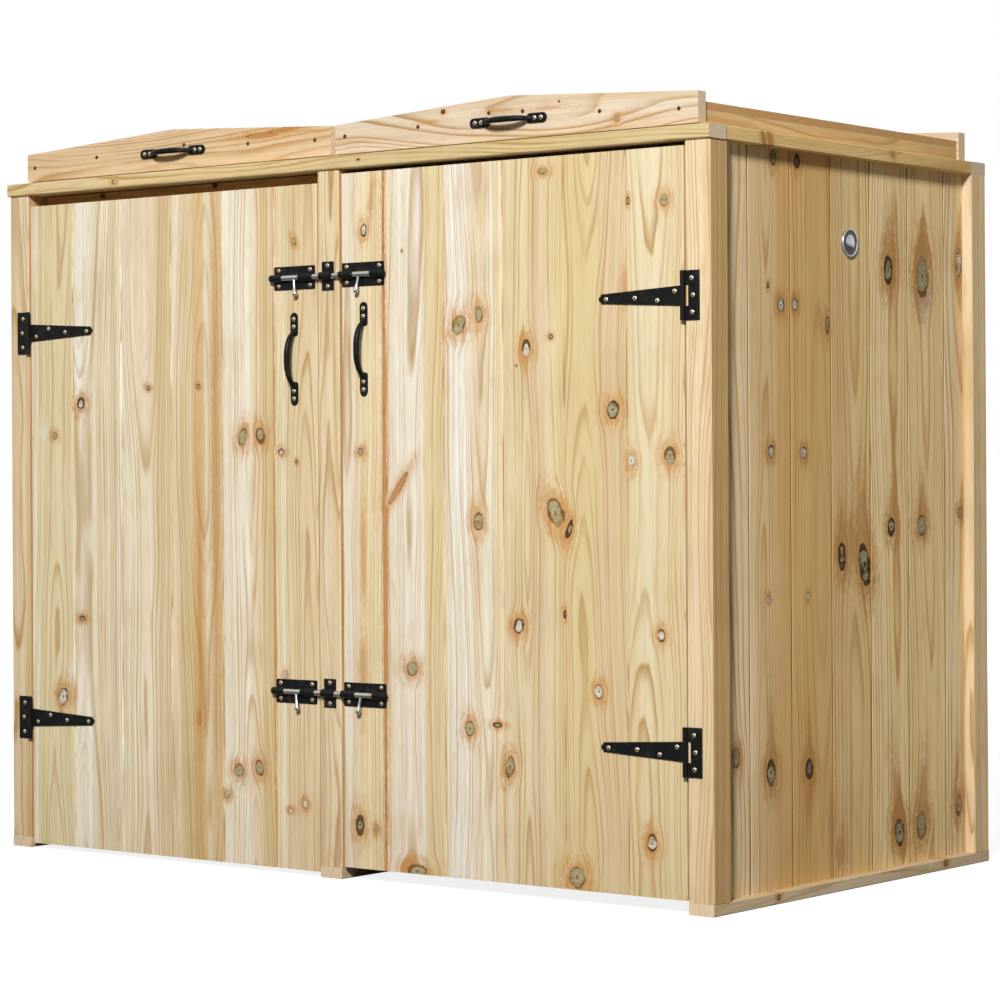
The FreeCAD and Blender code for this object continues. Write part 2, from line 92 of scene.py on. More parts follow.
class PineSettings(bpy.types.PropertyGroup):
    """Colours and sizes of the pine."""

    early: colour("Early wood", "Pale wood between the rings", (0.86, 0.765, 0.60))
    sap: colour("Sapwood", "Yellow outer wood", (0.71, 0.55, 0.295))
    heart: colour("Heartwood", "Pinkish wood near the pith", (0.80, 0.64, 0.47))
    streak: colour("Streaks", "Darker fibres", (0.60, 0.415, 0.18))
    late: colour("Late wood", "Lines of the yearly rings", (0.45, 0.255, 0.08))
    end_grain: colour("End grain", "Sawn ends", (0.80, 0.65, 0.46))
    # joint and groove are painted shade: joint darkens the V-joints between boards and groove is the
    # painted shadow in their slits. joint is also the colour of the grime.
    joint: colour("Joint line", "Wood in the grooves between boards", (0.30, 0.155, 0.06))
    groove: colour("Groove", "Dark bottom of the joints", (0.09, 0.045, 0.015))
    stain: colour("Stain", "Long brown marks", (0.45, 0.25, 0.10))
    green: colour("Green mark", "Marks left by the preservative", (0.36, 0.50, 0.36))
    live_core: colour("Live knot", "Middle of a live knot", (0.44, 0.42, 0.25))
    live_rim: colour("Live knot tinge", "Brown wood in a knot", (0.30, 0.155, 0.055))
    pale_core: colour("Pale knot", "Middle of a pale knot", (0.72, 0.69, 0.56))
    dark_edge: colour("Live knot edge", "Thin line round a live knot", (0.19, 0.085, 0.025))
    dark_rim: colour("Dark rim", "Bark ring round a dead knot", (0.075, 0.036, 0.012))
    halo: colour("Knot halo", "Wood stained round a knot", (0.57, 0.285, 0.09))
    resin: colour("Resin", "Streaks of resin", (0.55, 0.22, 0.045))
    bleach: colour("Bleached patch", "Pale green smears below knots", (0.74, 0.74, 0.58))
    ring: amount("Ring spacing", "Distance between yearly rings", 0.0042, "LENGTH")
    wander: amount("Ring wander", "How far the rings drift along a board", 0.06, "LENGTH")


class MetalSettings(bpy.types.PropertyGroup):
    """Colours of the metal parts."""

    black: colour("Black finish", "Paint on hinges, bolts and handles", (0.0065, 0.0075, 0.0075))
    # A brown painted highlight along the edges of the black parts
    wear: colour("Worn edge", "Brown that shows on the edges of the paint", (0.12, 0.045, 0.02))
    dust: colour("Dust", "Dust on the paint", (0.16, 0.14, 0.11))
    zinc: colour("Bright zinc", "Bolt rods and knobs", (0.52, 0.52, 0.51))
    brass: colour("Screw finish", "Yellow passivated screws", (0.74, 0.62, 0.44))
    disc: colour("Disc", "Polished disc on the wall", (0.50, 0.50, 0.52))
    nail: colour("Nail heads", "Dull nails in the boards", (0.11, 0.07, 0.04))


class StageSettings(bpy.types.PropertyGroup):
    """Light and floor."""

    floor: colour("Floor", "Floor under the store", (0.22, 0.22, 0.22))
    key_power: amount("Key lamp", "Power of the large lamp", 505, "POWER")
    back_power: amount("Back lamp", "Power of the lamp behind", 320, "POWER")
    sky_tint: colour("Fill colour", "Colour of the even light", (1.0, 0.90, 0.75))
    sky: amount("Fill", "Even light from all round", 0.12)
    lens: amount("Lens", "Focal length", 111.5, "CAMERA")


# Node helpers


class Value:
    """A number, vector or colour in a node tree. A sum on it adds a node to the tree."""

    def __init__(self, web, socket):
        self.web = web
        self.socket = socket

    def __add__(self, other):
        return self.web.math("ADD", self, other)

    def __sub__(self, other):
        return self.web.math("SUBTRACT", self, other)

    def __rsub__(self, other):
        return self.web.math("SUBTRACT", other, self)

    def __mul__(self, other):
        return self.web.math("MULTIPLY", self, other)

    def __truediv__(self, other):
        return self.web.math("DIVIDE", self, other)

    def __abs__(self):
        return self.web.math("ABSOLUTE", self)


class Outputs:
    """The outputs of a node, by name or number, as values."""

    def __init__(self, web, node):
        self.web = web
        self.node = node

    def __getitem__(self, key):
        return Value(self.web, self.node.outputs[key])


class Web:
    """A node tree, and the few ways in which this file adds to one."""

    def __init__(self, tree):
        self.tree = tree
        self.made = 0

    def feed(self, socket, value):
        """Wires a socket to a value, or sets it. A number fills all three parts of a vector."""
        if isinstance(value, Value):
            self.tree.links.new(value.socket, socket)
        elif socket.type == "VECTOR" and isinstance(value, (int, float)):
            socket.default_value = (value, value, value)
        else:
            socket.default_value = value

    def add(self, kind, sockets=(), **settings):
        """Adds a node with its settings and inputs, and gives its outputs."""
        node = self.tree.nodes.new(kind if kind.startswith("Node") else "ShaderNode" + kind)
        node.location = (200 * (self.made % 14), -280 * (self.made // 14))
        self.made += 1
        for name, value in settings.items():
            setattr(node, name, value)
        for key, value in dict(sockets).items():
            self.feed(node.inputs[key], value)
        return Outputs(self, node)

    def math(self, operation, *values):
        """One sum, on vectors where the first value is a vector or a colour."""
        first = values[0]
        on_vectors = isinstance(first, Value) and first.socket.type != "VALUE"
        kind = "VectorMath" if on_vectors else "Math"
        return self.add(kind, enumerate(values), operation=operation)[0]

    def length(self, vector):
        """How long a vector is."""
        return self.add("VectorMath", {0: vector}, operation="LENGTH")["Value"]

    def split(self, vector):
        """The three parts of a vector."""
        return self.add("SeparateXYZ", {0: vector})

    def vector(self, *parts):
        """A vector from its parts."""
        return self.add("CombineXYZ", enumerate(parts))[0]

    def step(self, value, low, high, rise="SMOOTHSTEP"):
        """Rises from 0 at low to 1 at high, or falls where low is the larger."""
        sockets = {"Value": value, "From Min": low, "From Max": high}
        return self.add("MapRange", sockets, interpolation_type=rise)[0]

    def mix(self, factor, first, second, blend="MIX"):
        """Two colours mixed."""
        sockets = {0: factor, 6: first, 7: second}
        return self.add("Mix", sockets, data_type="RGBA", blend_type=blend)[2]

    def tinted(self, base, tint, factor=1.0):
        """A colour multiplied by a tint."""
        return self.mix(factor, base, (*tint, 1), "MULTIPLY")

    def noise(self, place, scale, detail=1.0, output="Fac"):
        """A noise pattern, whose scale may differ by axis."""
        sockets = {"Vector": place * scale, "Scale": 1.0, "Detail": detail}
        return self.add("TexNoise", sockets)[output]

    def line_noise(self, number, detail):
        """A noise pattern along a line."""
        sockets = {"W": number, "Scale": 1.0, "Detail": detail}
        return self.add("TexNoise", sockets, noise_dimensions="1D")[0]

    def ramp(self, factor, stops, interpolation="LINEAR"):
        """A colour ramp with its stops as (place, colour) pairs."""
        outputs = self.add("ValToRGB", {0: factor})
        ramp = outputs.node.color_ramp
        ramp.interpolation = interpolation
        while len(ramp.elements) < len(stops):
            ramp.elements.new(1.0)
        for element, (place, value) in zip(ramp.elements, stops):
            element.position = place
            element.color = (*value, 1)
        return outputs[0]


# Kinds of the sockets of the node groups. The rest are numbers.
SOCKET_KINDS = dict.fromkeys(("place", "board", "centre", "size", "lean"), "Vector")
SOCKET_KINDS |= dict.fromkeys(("colour", "core", "rim", "edge", "halo"), "Color")


def add_sockets(tree, way, labels):
    """Gives a node group its inputs or its outputs."""
    for label in labels:
        kind = "NodeSocket" + SOCKET_KINDS.get(label, "Float")
        tree.interface.new_socket(name=label, in_out=way, socket_type=kind)


def node_group(build):
    """Turns a function that fills a node group into one that puts the group to use.

    The group is built once. Its inputs are the function's arguments, its outputs what that returns.
    """
    name = build.__name__.replace("_", " ")
    inputs = list(inspect.signature(build).parameters)[1:]

    def use(web, **sockets):
        if name not in bpy.data.node_groups:
            tree = bpy.data.node_groups.new(name, "ShaderNodeTree")
            add_sockets(tree, "INPUT", inputs)
            inside = Web(tree)
            given = inside.add("NodeGroupInput")
            results = build(inside, *(given[label] for label in inputs))
            add_sockets(tree, "OUTPUT", results)
            inside.add("NodeGroupOutput", results)
        return web.add("Group", sockets, node_tree=bpy.data.node_groups[name])

    return use


def new_material(name):
    """An empty node material, and its tree."""
    material = bpy.data.materials.new(name)
    material.use_nodes = True
    material.node_tree.nodes.clear()
    return material, Web(material.node_tree)


def finish_material(web, sockets, height, strength, distance):
    """Adds the shader, with its bump, and the output."""
    bump = {"Height": height, "Strength": strength, "Distance": distance}
    normal = web.add("Bump", bump)[0]
    shader = web.add("BsdfPrincipled", {**sockets, "Normal": normal})[0]
    web.add("OutputMaterial", {"Surface": shader})


def dress(node, material):
    """Gives a CAD node a material."""
    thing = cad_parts[node]
    if not thing.material_slots:
        thing.data.materials.append(None)
    for slot in thing.material_slots:
        slot.link = "OBJECT"
        slot.material = material


# Pine

# How far from a knot the grain bends, and where it bends fully, in sizes of the knot
BEND = (3.4, 0.5)
# The share of late wood over one year, as (part of the year, share) pairs
YEAR = ((0.0, 0.06), (0.32, 0.0), (0.55, 0.12), (0.80, 0.78), (0.90, 1.0), (0.985, 0.1))
# Where a surface starts to count as facing an axis, and where it does so fully
FACING = (0.75, 0.9)
FAR = 99.0  # stands for no knot at all, in sizes of a knot
LOOSE_CELLS = (8.0, 3.4, 0.0)  # loose knots to a metre, across and along
LOOSE_SIZE = (0.0045, 0.007)  # half the width of the smallest loose knot, and what the widest adds


@node_group
def knot_in_grain(web, place, nearest, centre, size, lean, pull):
    """Pushes the grain aside round one knot, and keeps the distance to the nearest knot so far."""
    mapping = {"Vector": place, "Location": centre, "Rotation": lean, "Scale": size}
    local = web.add("Mapping", mapping, vector_type="TEXTURE")[0]
    away = web.length(local)
    across = local * (size * (1, 0, 0))
    push = web.step(away, *BEND) * pull
    return {"place": place - across * push, "nearest": web.math("MINIMUM", away, nearest)}


@node_group
def loose_knots(web, place, board, share):
    """Knots strewn at random, one to a cell at most."""
    spread = place * LOOSE_CELLS + board
    sockets = {"Vector": spread, "Scale": 1.0, "Randomness": 0.8}
    cell = web.add("TexVoronoi", sockets, voronoi_dimensions="2D")
    local = (spread - cell["Position"]) * (1 / LOOSE_CELLS[0], 1 / LOOSE_CELLS[1], 0.0)
    draw = web.split(cell["Color"])
    unwanted = 1.0 - web.math("LESS_THAN", draw[0], share)
    half = draw[1] * LOOSE_SIZE[1] + LOOSE_SIZE[0]
    away = web.length(local * (1.0, 0.7, 0.0)) / half + unwanted * 9.0
    push = web.step(away, *BEND) * 0.75
    return {"place": place - local * (1, 0, 0) * push, "nearest": away}


@node_group
def pine_figure(web, place, middle, board, ring, wander):
    """The figure that the saw shows: rings about a pith that wanders along the board."""
    local = place - web.vector(middle)
    seeded = board * (3.0, 11.0, 5.0) + local
    drift = (web.noise(seeded, (3.0, 1.2, 3.0), 1.5, "Color") - 0.5) * wander
    draw = web.split(board)
    pith = web.vector((draw[0] - 0.5) * 0.066, 0.0, draw[1] * 0.055 + 0.018)
    radius = web.length((local + drift - pith) * (1, 0, 1))
    ripple = web.noise(seeded, (65.0, 8.0, 65.0))
    years = (ripple * 0.0022 + radius) / ring
    spare = draw[2] * 31.0 + years
    uneven = web.line_noise(spare * 0.55, 0.0) * 1.5
    stops = [(part, (share, share, share)) for part, share in YEAR]
    late = web.ramp(web.math("FRACT", uneven + years), stops)
    late = web.step(web.line_noise(spare * 0.21, 1.0), 0.12, 0.66) * late
    late = late * web.step(web.noise(seeded, (24.0, 5.0, 24.0), 2.0), 0.18, 0.56)
    streak = web.noise(seeded, (210.0, 3.0, 210.0), 2.0)
    fibre = web.noise(seeded, (800.0, 45.0, 800.0))
    bands = web.split(web.noise(seeded, (19.0, 0.45, 19.0), 1.0, "Color"))
    return {
        "late": late,
        "heart": web.step(radius, 0.05, 0.018),
        "fibre": streak * 0.9 + fibre * 0.5,
        "sap": web.step(bands[0], 0.44, 0.56),
        "blush": web.step(bands[1], 0.46, 0.58),
    }


@node_group
def knot_colours(web, place, colour, nearest, late, core, rim, edge, halo, strength, cover, ring):
    """Paints one kind of knot over the wood: core, rim and stained halo."""
    rough = web.split(web.noise(place, (150.0, 90.0, 150.0), 3.0, "Color"))
    away = (rough[0] - 0.5) * 0.55 + nearest
    stain = (rough[1] - 0.5) * 3.2 + away
    base = web.mix(web.step(stain, 3.8, 0.9) * strength * (late + 0.38), colour, halo)
    base = web.mix(web.step(stain, 2.4, 0.9) * strength * 0.62, base, halo)
    rings = web.math("SINE", rough[2] * 9.0 + nearest * 19.0)
    tinge = web.step(away, 0.30, 1.10) * 0.55 + rings * 0.16
    tinge = tinge + web.step(rough[2], 0.46, 0.68) * 0.5
    speck = web.noise(place, (700.0, 420.0, 700.0), 2.0)
    tinge = tinge + web.step(speck, 0.50, 0.72) * 0.6 + web.step(away, 0.24, 0.08)
    inside = web.mix(tinge, core, rim)
    inner = web.noise(place, (60.0, 42.0, 60.0)) * -1.9 + 1.78 - ring
    band = web.step(away, inner, inner + 0.10) * web.step(rough[1], 0.30, 0.46)
    inside = web.mix(band * 0.9, inside, edge)
    return {"colour": web.mix(web.step(away, 1.12, 0.98) * cover, base, inside)}


@node_group
def grime(web, place, thickness):
    """Handling marks and a little dust: a mask that thickens towards the ground."""
    low = web.step(web.split(place)[2], 0.30, 0.0) * 0.5
    patches = web.step(web.noise(place, 9.0, 4.0), 0.5, 0.85) * 0.7
    return {"mask": (patches + low) * thickness}


# How strongly each kind of knot or mark pulls the grain aside
KNOT_PULL = {
    "live": 0.85,
    "pale": 0.85,
    "dark": 0.8,
    "dead": 0.6,
    "resin": 0.3,
    "stain": 0.2,
    "green": 0.0,
    "bleach": 0.0,
}

# Colours of the core, rim, edge and halo of each kind, strength of the halo, cover, and width of the ring
KNOT_LOOKS = {
    "bleach": ("bleach", "bleach", "bleach", "early", 0.3, 0.6, 0.0),
    "green": ("green", "green", "green", "early", 0.0, 0.45, 0.0),
    "stain": ("stain", "halo", "halo", "halo", 0.5, 0.4, 0.0),
    "resin": ("resin", "stain", "live_rim", "halo", 0.6, 0.85, 0.0),
    "live": ("live_core", "live_rim", "dark_edge", "halo", 0.9, 1.0, 0.0),
    "pale": ("pale_core", "live_rim", "dark_rim", "halo", 1.0, 1.0, 0.0),
    "dark": ("live_core", "dark_rim", "dark_rim", "halo", 1.0, 1.0, 0.24),
    "dead": ("dark_edge", "dark_rim", "dark_rim", "halo", 0.5, 1.0, 0.0),
}
KNOT_SOCKETS = ("core", "rim", "edge", "halo", "strength", "cover", "ring")


def add_knots(web, place, knots, draw, loose):
    """Bends the grain round the knots. Gives the bent place and the distances by kind of knot."""
    nearest = {}
    for across, along, half_width, half_length, lean, kind in knots:
        knot = knot_in_grain(
            web,
            place=place,
            nearest=nearest.get(kind, FAR),
            centre=(across * MM, along * MM, 0),
            size=(half_width * MM, half_length * MM, 9.0),
            lean=(0, 0, math.radians(lean)),
            pull=KNOT_PULL[kind],
        )
        place = knot["place"]
        nearest[kind] = knot["nearest"]
    if loose:
        strewn = loose_knots(web, place=place, board=draw * 40.0, share=loose)
        place = strewn["place"]
        nearest["live"] = web.math("MINIMUM", strewn["nearest"], nearest.get("live", FAR))
    return place, nearest


def swapped_beyond(web, vector, beyond):
    """Swaps X and Y where beyond is 1, for timbers that run round a corner."""
    parts = web.split(vector)
    sockets = {"Factor": beyond, 4: vector, 5: web.vector(parts[1], parts[0], parts[2])}
    return web.add("Mix", sockets, data_type="VECTOR")[1]


def timber_axes(web, way, origin, looks):
    """Places along, across and into a timber, and which way its surface faces, in three parts."""
    coordinates = web.add("TexCoord")
    point = coordinates["Object"]
    normal = coordinates["Normal"]
    if "turn" in looks:
        mapping = {"Vector": point, "Location": looks["centre"], "Rotation": looks["turn"]}
        point = web.add("Mapping", mapping, vector_type="TEXTURE")[0]
    if "corner" in looks:
        beyond = web.math("GREATER_THAN", web.split(point)[1], looks["corner"])
        point = swapped_beyond(web, point, beyond)
        normal = swapped_beyond(web, normal, beyond)
    parts = web.split(point)
    along, across, depth = (AXES.index(letter) for letter in way)
    into = parts[depth] - origin[1]
    if "pair" in looks:
        into = looks["pair"] - abs(into)
    return parts[along], parts[across] - origin[0], into, web.split(normal)


def banded(web, base, across, fibre, bands):
    """Tints bands of wood across a run of boards. bands are (edge in millimetres, tint) pairs."""
    wobble = (fibre - 0.7) * 0.020 + across
    start = bands[0][0]
    end = bands[-1][0]
    stops = [((edge - start) / (end - start), tint) for edge, tint in bands]
    fraction = web.step(wobble, start * MM, end * MM, "LINEAR")
    return web.mix(1.0, base, web.ramp(fraction, stops, "CONSTANT"), "MULTIPLY")


def jointed(web, base, across, place, boards, depth):
    """Paints shade along the V-joints between boards, with a painted shadow for the slit at the bottom as
    deep as wanted.
    """
    pine = bpy.context.scene.bin_store_pine
    first, cover = boards
    ratio = web.math("FRACT", (across - first) / cover)
    gap = (0.5 - abs(ratio - 0.5)) * cover
    worn = web.noise(place, (9.0, 7.0, 9.0), 3.0)
    # Painted shade along each joint, broken up in patches
    line = web.step(gap, 0.0018, 0.0005) * web.step(worn, 0.40, 0.66)
    base = web.mix(line * 0.8, base, pine.joint)
    # Painted shadow in the slit at the bottom of each joint
    return web.mix(web.step(gap, 0.0016, 0.0010) * depth, base, pine.groove)


def knotted(web, base, place, nearest, late):
    """Paints each kind of knot that a timber has."""
    pine = bpy.context.scene.bin_store_pine
    for kind, looks in KNOT_LOOKS.items():
        if kind in nearest:
            values = [getattr(pine, look) if isinstance(look, str) else look for look in looks]
            sockets = {"colour": base, "place": place, "nearest": nearest[kind], "late": late}
            base = knot_colours(web, **sockets, **dict(zip(KNOT_SOCKETS, values)))["colour"]
    return base


def sawn_ends(web, base, place, end, late, looks):
    """End grain where a timber is cut across, weathered in patches where looks has a colour for it."""
    pine = bpy.context.scene.bin_store_pine
    bare = pine.end_grain
    if "sawn" in looks:
        patches = web.step(web.noise(place, 45.0, 3.0), 0.46, 0.58)
        bare = web.mix(patches, (*looks["sawn"], 1), pine.streak)
    return web.mix(end, base, web.mix(late * 0.5, bare, pine.late))


def pine_material(name, way, seed, origin=(0, 0), boards=None, knots=(), loose=0.2, **looks):
    """Pine for one timber or one run of boards. way names the axes along, across and into the wood.

    boards are the first joint and the cover of a board, and loose is the share of strewn knots. looks
    may hold turn with centre, corner, pair, ring, wander, bands, contrast, dim, gap, tint, fade, flank
    and sawn. gap is how dark the painted shadow in the slits of the joints is, and flank is painted
    shading on the faces that face across the timber.
    """
    pine = bpy.context.scene.bin_store_pine
    material, web = new_material(name)
    along, across, into, facing = timber_axes(web, way, origin, looks)
    number = seed
    middle = 0.0
    if boards:
        first, cover = boards
        index = web.math("FLOOR", (across - first) / cover)
        middle = (index + 0.5) * cover + first
        number = index + seed
    draw = web.add("TexWhiteNoise", {"W": number}, noise_dimensions="1D")["Color"]
    place, nearest = add_knots(web, web.vector(across, along, into), knots, draw, loose)
    sizes = {"ring": looks.get("ring", pine.ring), "wander": looks.get("wander", pine.wander)}
    figure = pine_figure(web, place=place, middle=middle, board=draw, **sizes)
    late = figure["late"]
    base = web.mix(figure["sap"] * 0.45, pine.early, pine.sap)
    base = web.mix(web.math("MAXIMUM", figure["heart"], figure["blush"]) * 0.4, base, pine.heart)
    if "bands" in looks:
        base = banded(web, base, across, figure["fibre"], looks["bands"])
    base = web.mix(late * looks.get("contrast", 0.92), base, pine.late)
    dim = web.step(figure["fibre"], 0.80, 0.50) * looks.get("dim", 0.34)
    base = web.mix(dim, base, pine.streak)
    mottle = web.step(web.noise(place, (70.0, 16.0, 70.0), 3.0), 0.50, 0.80)
    base = web.mix(mottle * 0.35, base, pine.streak)
    if boards:
        base = jointed(web, base, across, place, boards, looks.get("gap", 0.0))
    if "tint" in looks:
        base = web.tinted(base, looks["tint"])
    if "fade" in looks:
        start, stop, tint = looks["fade"]
        base = web.tinted(base, tint, web.step(along, start, stop))
    base = knotted(web, base, place, nearest, late)
    # Painted shading: the faces that face across the timber get their own tint
    if "flank" in looks:
        flank = web.step(abs(facing[AXES.index(way[1])]), *FACING)
        base = web.tinted(base, looks["flank"], flank)
    end = web.step(abs(facing[AXES.index(way[0])]), *FACING)
    base = sawn_ends(web, base, place, end, late, looks)
    point = web.add("TexCoord")["Object"]
    base = web.mix(grime(web, place=point, thickness=0.22)["mask"], base, pine.joint)
    height = web.noise(point, [14.0 if letter == way[0] else 900.0 for letter in AXES], 2.0)
    sockets = {"Base Color": base, "Roughness": late * -0.12 + 0.66, "Specular IOR Level": 0.04}
    finish_material(web, sockets, height, 0.25, 0.0004)
    return material


# Places, widths and lengths of the knots in millimetres, with their lean in degrees
RIGHT_DOOR_KNOTS = (
    (74, 1033, 6, 10, 0, "pale"),
    (657, 1048, 7, 9, 0, "live"),
    (591, 1050, 3, 6, 0, "dark"),
    (267, 877, 12, 16, -25, "live"),
    (306, 892, 9, 13, 8, "live"),
    (399, 837, 8, 13, 0, "pale"),
    (446, 853, 4, 4, 0, "dark"),
    (562, 741, 11, 13, -10, "dark"),
    (153, 997, 1.6, 2.6, 0, "dead"),
    (380, 811, 1.7, 2.4, 0, "dead"),
    (595, 664, 7, 10, 0, "pale"),
    (665, 672, 10, 13, 8, "live"),
    (453, 588, 14, 22, 25, "live"),
    (474, 563, 5, 14, 0, "dark"),
    (304, 573, 9, 14, 0, "live"),
    (65, 682, 6, 6, 0, "pale"),
    (143, 624, 6, 32, -37, "resin"),
    (432, 1104, 9, 5, 0, "live"),
    (382, 415, 10, 12, -20, "pale"),
    (470, 434, 3, 7, 0, "dark"),
    (648, 407, 7, 9, 0, "pale"),
    (170, 341, 11, 11, -20, "live"),
    (533, 320, 8, 11, 0, "pale"),
    (285, 253, 9, 12, 0, "live"),
    (340, 261, 9, 4, 0, "dark"),
    (363, 198, 9, 16, -10, "live"),
    (60, 89, 9, 16, 0, "dark"),
    (94, 85, 6, 6, 0, "live"),
    (178, 24, 19, 11, 0, "live"),
    (629, 100, 9, 13, 0, "pale"),
    (490, 39, 15, 16, 20, "live"),
    # Painted shade: an orange-brown strip along the joint at 118.9 mm stands for the shaded side of the
    # groove, drawn with the resin look
    (114.5, 565, 3.5, 580, 0, "resin"),
    (166, 953, 2, 70, 0, "green"),
    (70, 520, 4, 60, 0, "stain"),
    (68, 330, 5, 45, 0, "stain"),
    (90, 1085, 4, 26, -6, "stain"),
    (584, 925, 3, 22, 0, "stain"),
)
LEFT_DOOR_KNOTS = (
    (-75, 1023, 4, 7, 35, "live"),
    (-568, 770, 9, 10, -22, "pale"),
    (-661, 723, 9, 12, 15, "bleach"),
    (-633, 715, 6, 6, 0, "live"),
    (-406, 793, 5, 4, 0, "dark"),
    (-290, 793, 4, 4, 0, "dark"),
    (-190, 708, 9, 15, -14, "live"),
    (-151, 710, 10, 13, 20, "live"),
    (-105, 683, 6, 5, 0, "pale"),
    (-71, 667, 3, 3, 0, "dark"),
    (-567, 401, 7, 5, 0, "dark"),
    (-615, 266, 11, 15, -18, "pale"),
    (-599, 302, 5, 25, -20, "bleach"),
    (-202, 161, 11, 10, -35, "live"),
    (-204, 141, 12, 14, -10, "bleach"),
    (-156, 168, 9, 13, 15, "live"),
    (-229, 121, 7, 6, 0, "pale"),
    (-88, 102, 5, 4, 0, "pale"),
    (-57, 115, 6, 7, -15, "pale"),
    (-98, 322, 4, 5, 0, "pale"),
    (-291, 243, 4, 12, 0, "resin"),
    (-289, 420, 4, 190, 0, "stain"),
    # Painted shade: a thin orange line along the joint at -118.9 mm stands for the shaded side of the
    # groove, drawn with the resin look
    (-121, 560, 1.0, 420, 0, "resin"),
    (-252, 640, 5, 260, 0, "stain"),
)
RIGHT_WALL_KNOTS = (
    (-178, 899, 9, 11, 0, "pale"),
    (-139, 901, 8, 9, 0, "pale"),
    (134, 966, 13, 23, 0, "dark"),
    (239, 959, 18, 32, 0, "live"),
    (357, 988, 9, 23, 0, "pale"),
    (-207, 677, 8, 10, 0, "pale"),
    (-116, 675, 8, 9, 0, "pale"),
    (-47, 873, 6, 14, 0, "live"),
    (-213, 927, 3, 5, 0, "dark"),
    (-9, 515, 11, 21, 0, "dark"),
    (58, 499, 16, 32, 12, "dark"),
    (139, 558, 11, 14, 0, "dark"),
    (233, 558, 13, 16, 0, "live"),
    (356, 577, 8, 9, 0, "live"),
    (-217, 456, 4, 6, 0, "pale"),
    (-106, 456, 4, 6, 0, "pale"),
    (-212, 195, 12, 19, 0, "dark"),
    (-106, 192, 11, 15, 0, "dark"),
    (159, 71, 14, 21, 8, "dark"),
    (227, 75, 15, 22, -6, "live"),
    (347, 97, 9, 18, -8, "live"),
    (-305, 224, 10, 16, 0, "live"),
    (150, 128, 8, 42, 8, "stain"),
    (233, 132, 8, 40, -6, "stain"),
    (340, 145, 6, 34, -8, "stain"),
    (56, 572, 11, 50, 6, "stain"),
    (-9, 562, 6, 30, 0, "stain"),
    (23, 535, 16, 34, 0, "stain"),
    (134, 1012, 7, 28, 0, "stain"),
    (239, 1008, 7, 26, 0, "stain"),
    (240, 928, 13, 20, 0, "bleach"),
    (-197, 1120, 8, 12, 0, "dark"),
    (-131, 1119, 8, 11, 0, "dark"),
    (-209, 246, 6, 40, 3, "stain"),
    (-108, 146, 7, 26, -6, "stain"),
    (-106, 228, 5, 28, 0, "stain"),
    (-40, 105, 7, 60, 0, "stain"),
    (-20, 60, 14, 22, 0, "stain"),
    (236, 600, 7, 26, 0, "stain"),
    (141, 596, 6, 24, 0, "stain"),
)

POST_FRONT = -391.15  # Y of the front posts' face in millimetres

# The cover of the boards in each run, and where the joint before the first whole board lies
DOOR_COVER = 0.117
DOOR_FIRST_JOINT = {"left": -0.5869 - DOOR_COVER, "right": 0.1189 - DOOR_COVER}
WALL_COVER = 0.115
WALL_FIRST_JOINT = (123.4 + POST_FRONT) * MM - WALL_COVER
BACK_FIRST_JOINT = 0.0225 - 0.00875
LID_COVER = 0.113
LID_FIRST_JOINT = (132 + POST_FRONT) * MM - LID_COVER
LEDGE_START = 0.2  # how far below the lower ledge the count starts, so that each ledge is a board
BATTEN_RUN = (-0.1, 0.43)  # start and height of strips that hold one level of battens each
BATTEN_THICK = 0.0151  # how far the battens stand off the back boards
BRACE_CUT = 0.124  # length of the horizontal cut at the end of a brace

# Tints of the timber
WHITE = (1.09, 1.21, 1.48)
PALE = (1.05, 1.12, 1.30)
CREAM = (1.00, 1.03, 1.07)
PINK = (1.00, 0.98, 1.02)
BEIGE = (0.93, 0.92, 0.92)
IVORY = (1.07, 1.08, 1.03)
YELLOW = (0.97, 0.96, 0.84)
HONEY = (0.92, 0.92, 0.81)
STRAW = (0.89, 0.86, 0.68)
TAN = (0.88, 0.83, 0.74)
UMBER = (0.84, 0.70, 0.52)

DOOR_TINT = {"left": (1.04, 1.05, 1.0), "right": (1.0, 1.01, 1.0)}
# Painted light: the left and back walls get a warm tint like that of the right-hand wall, for warm light
# that the white back lamp does not give
PLAIN_WALL = (1.09, 1.01, 0.84)
# Painted light: the right-hand wall is tinted warmer and brighter than its wood, standing for the warm
# light on that side
SHADED = (1.18, 1.06, 0.80)
FRAME_TINT = (0.95, 0.90, 0.79)
RAIL_TINT = (0.97, 0.93, 0.73)
SIDE_RAIL_TINT = (1.09, 0.92, 0.56)
LID_BATTEN_TINT = (1.06, 0.92, 0.67)
# Painted shade: the header sits in the shadow under the front rail and is tinted a deeper, warmer orange
# for it
HEADER_TINT = (1.05, 0.83, 0.46)
LID_ENDS = (0.66, 0.37, 0.17)
# Painted shading on the side faces of the posts: darker and warmer on the front posts, lighter on the back
# posts
POST_FLANKS = {"front": (0.94, 0.81, 0.64), "back": (1.2, 1.16, 1.04)}

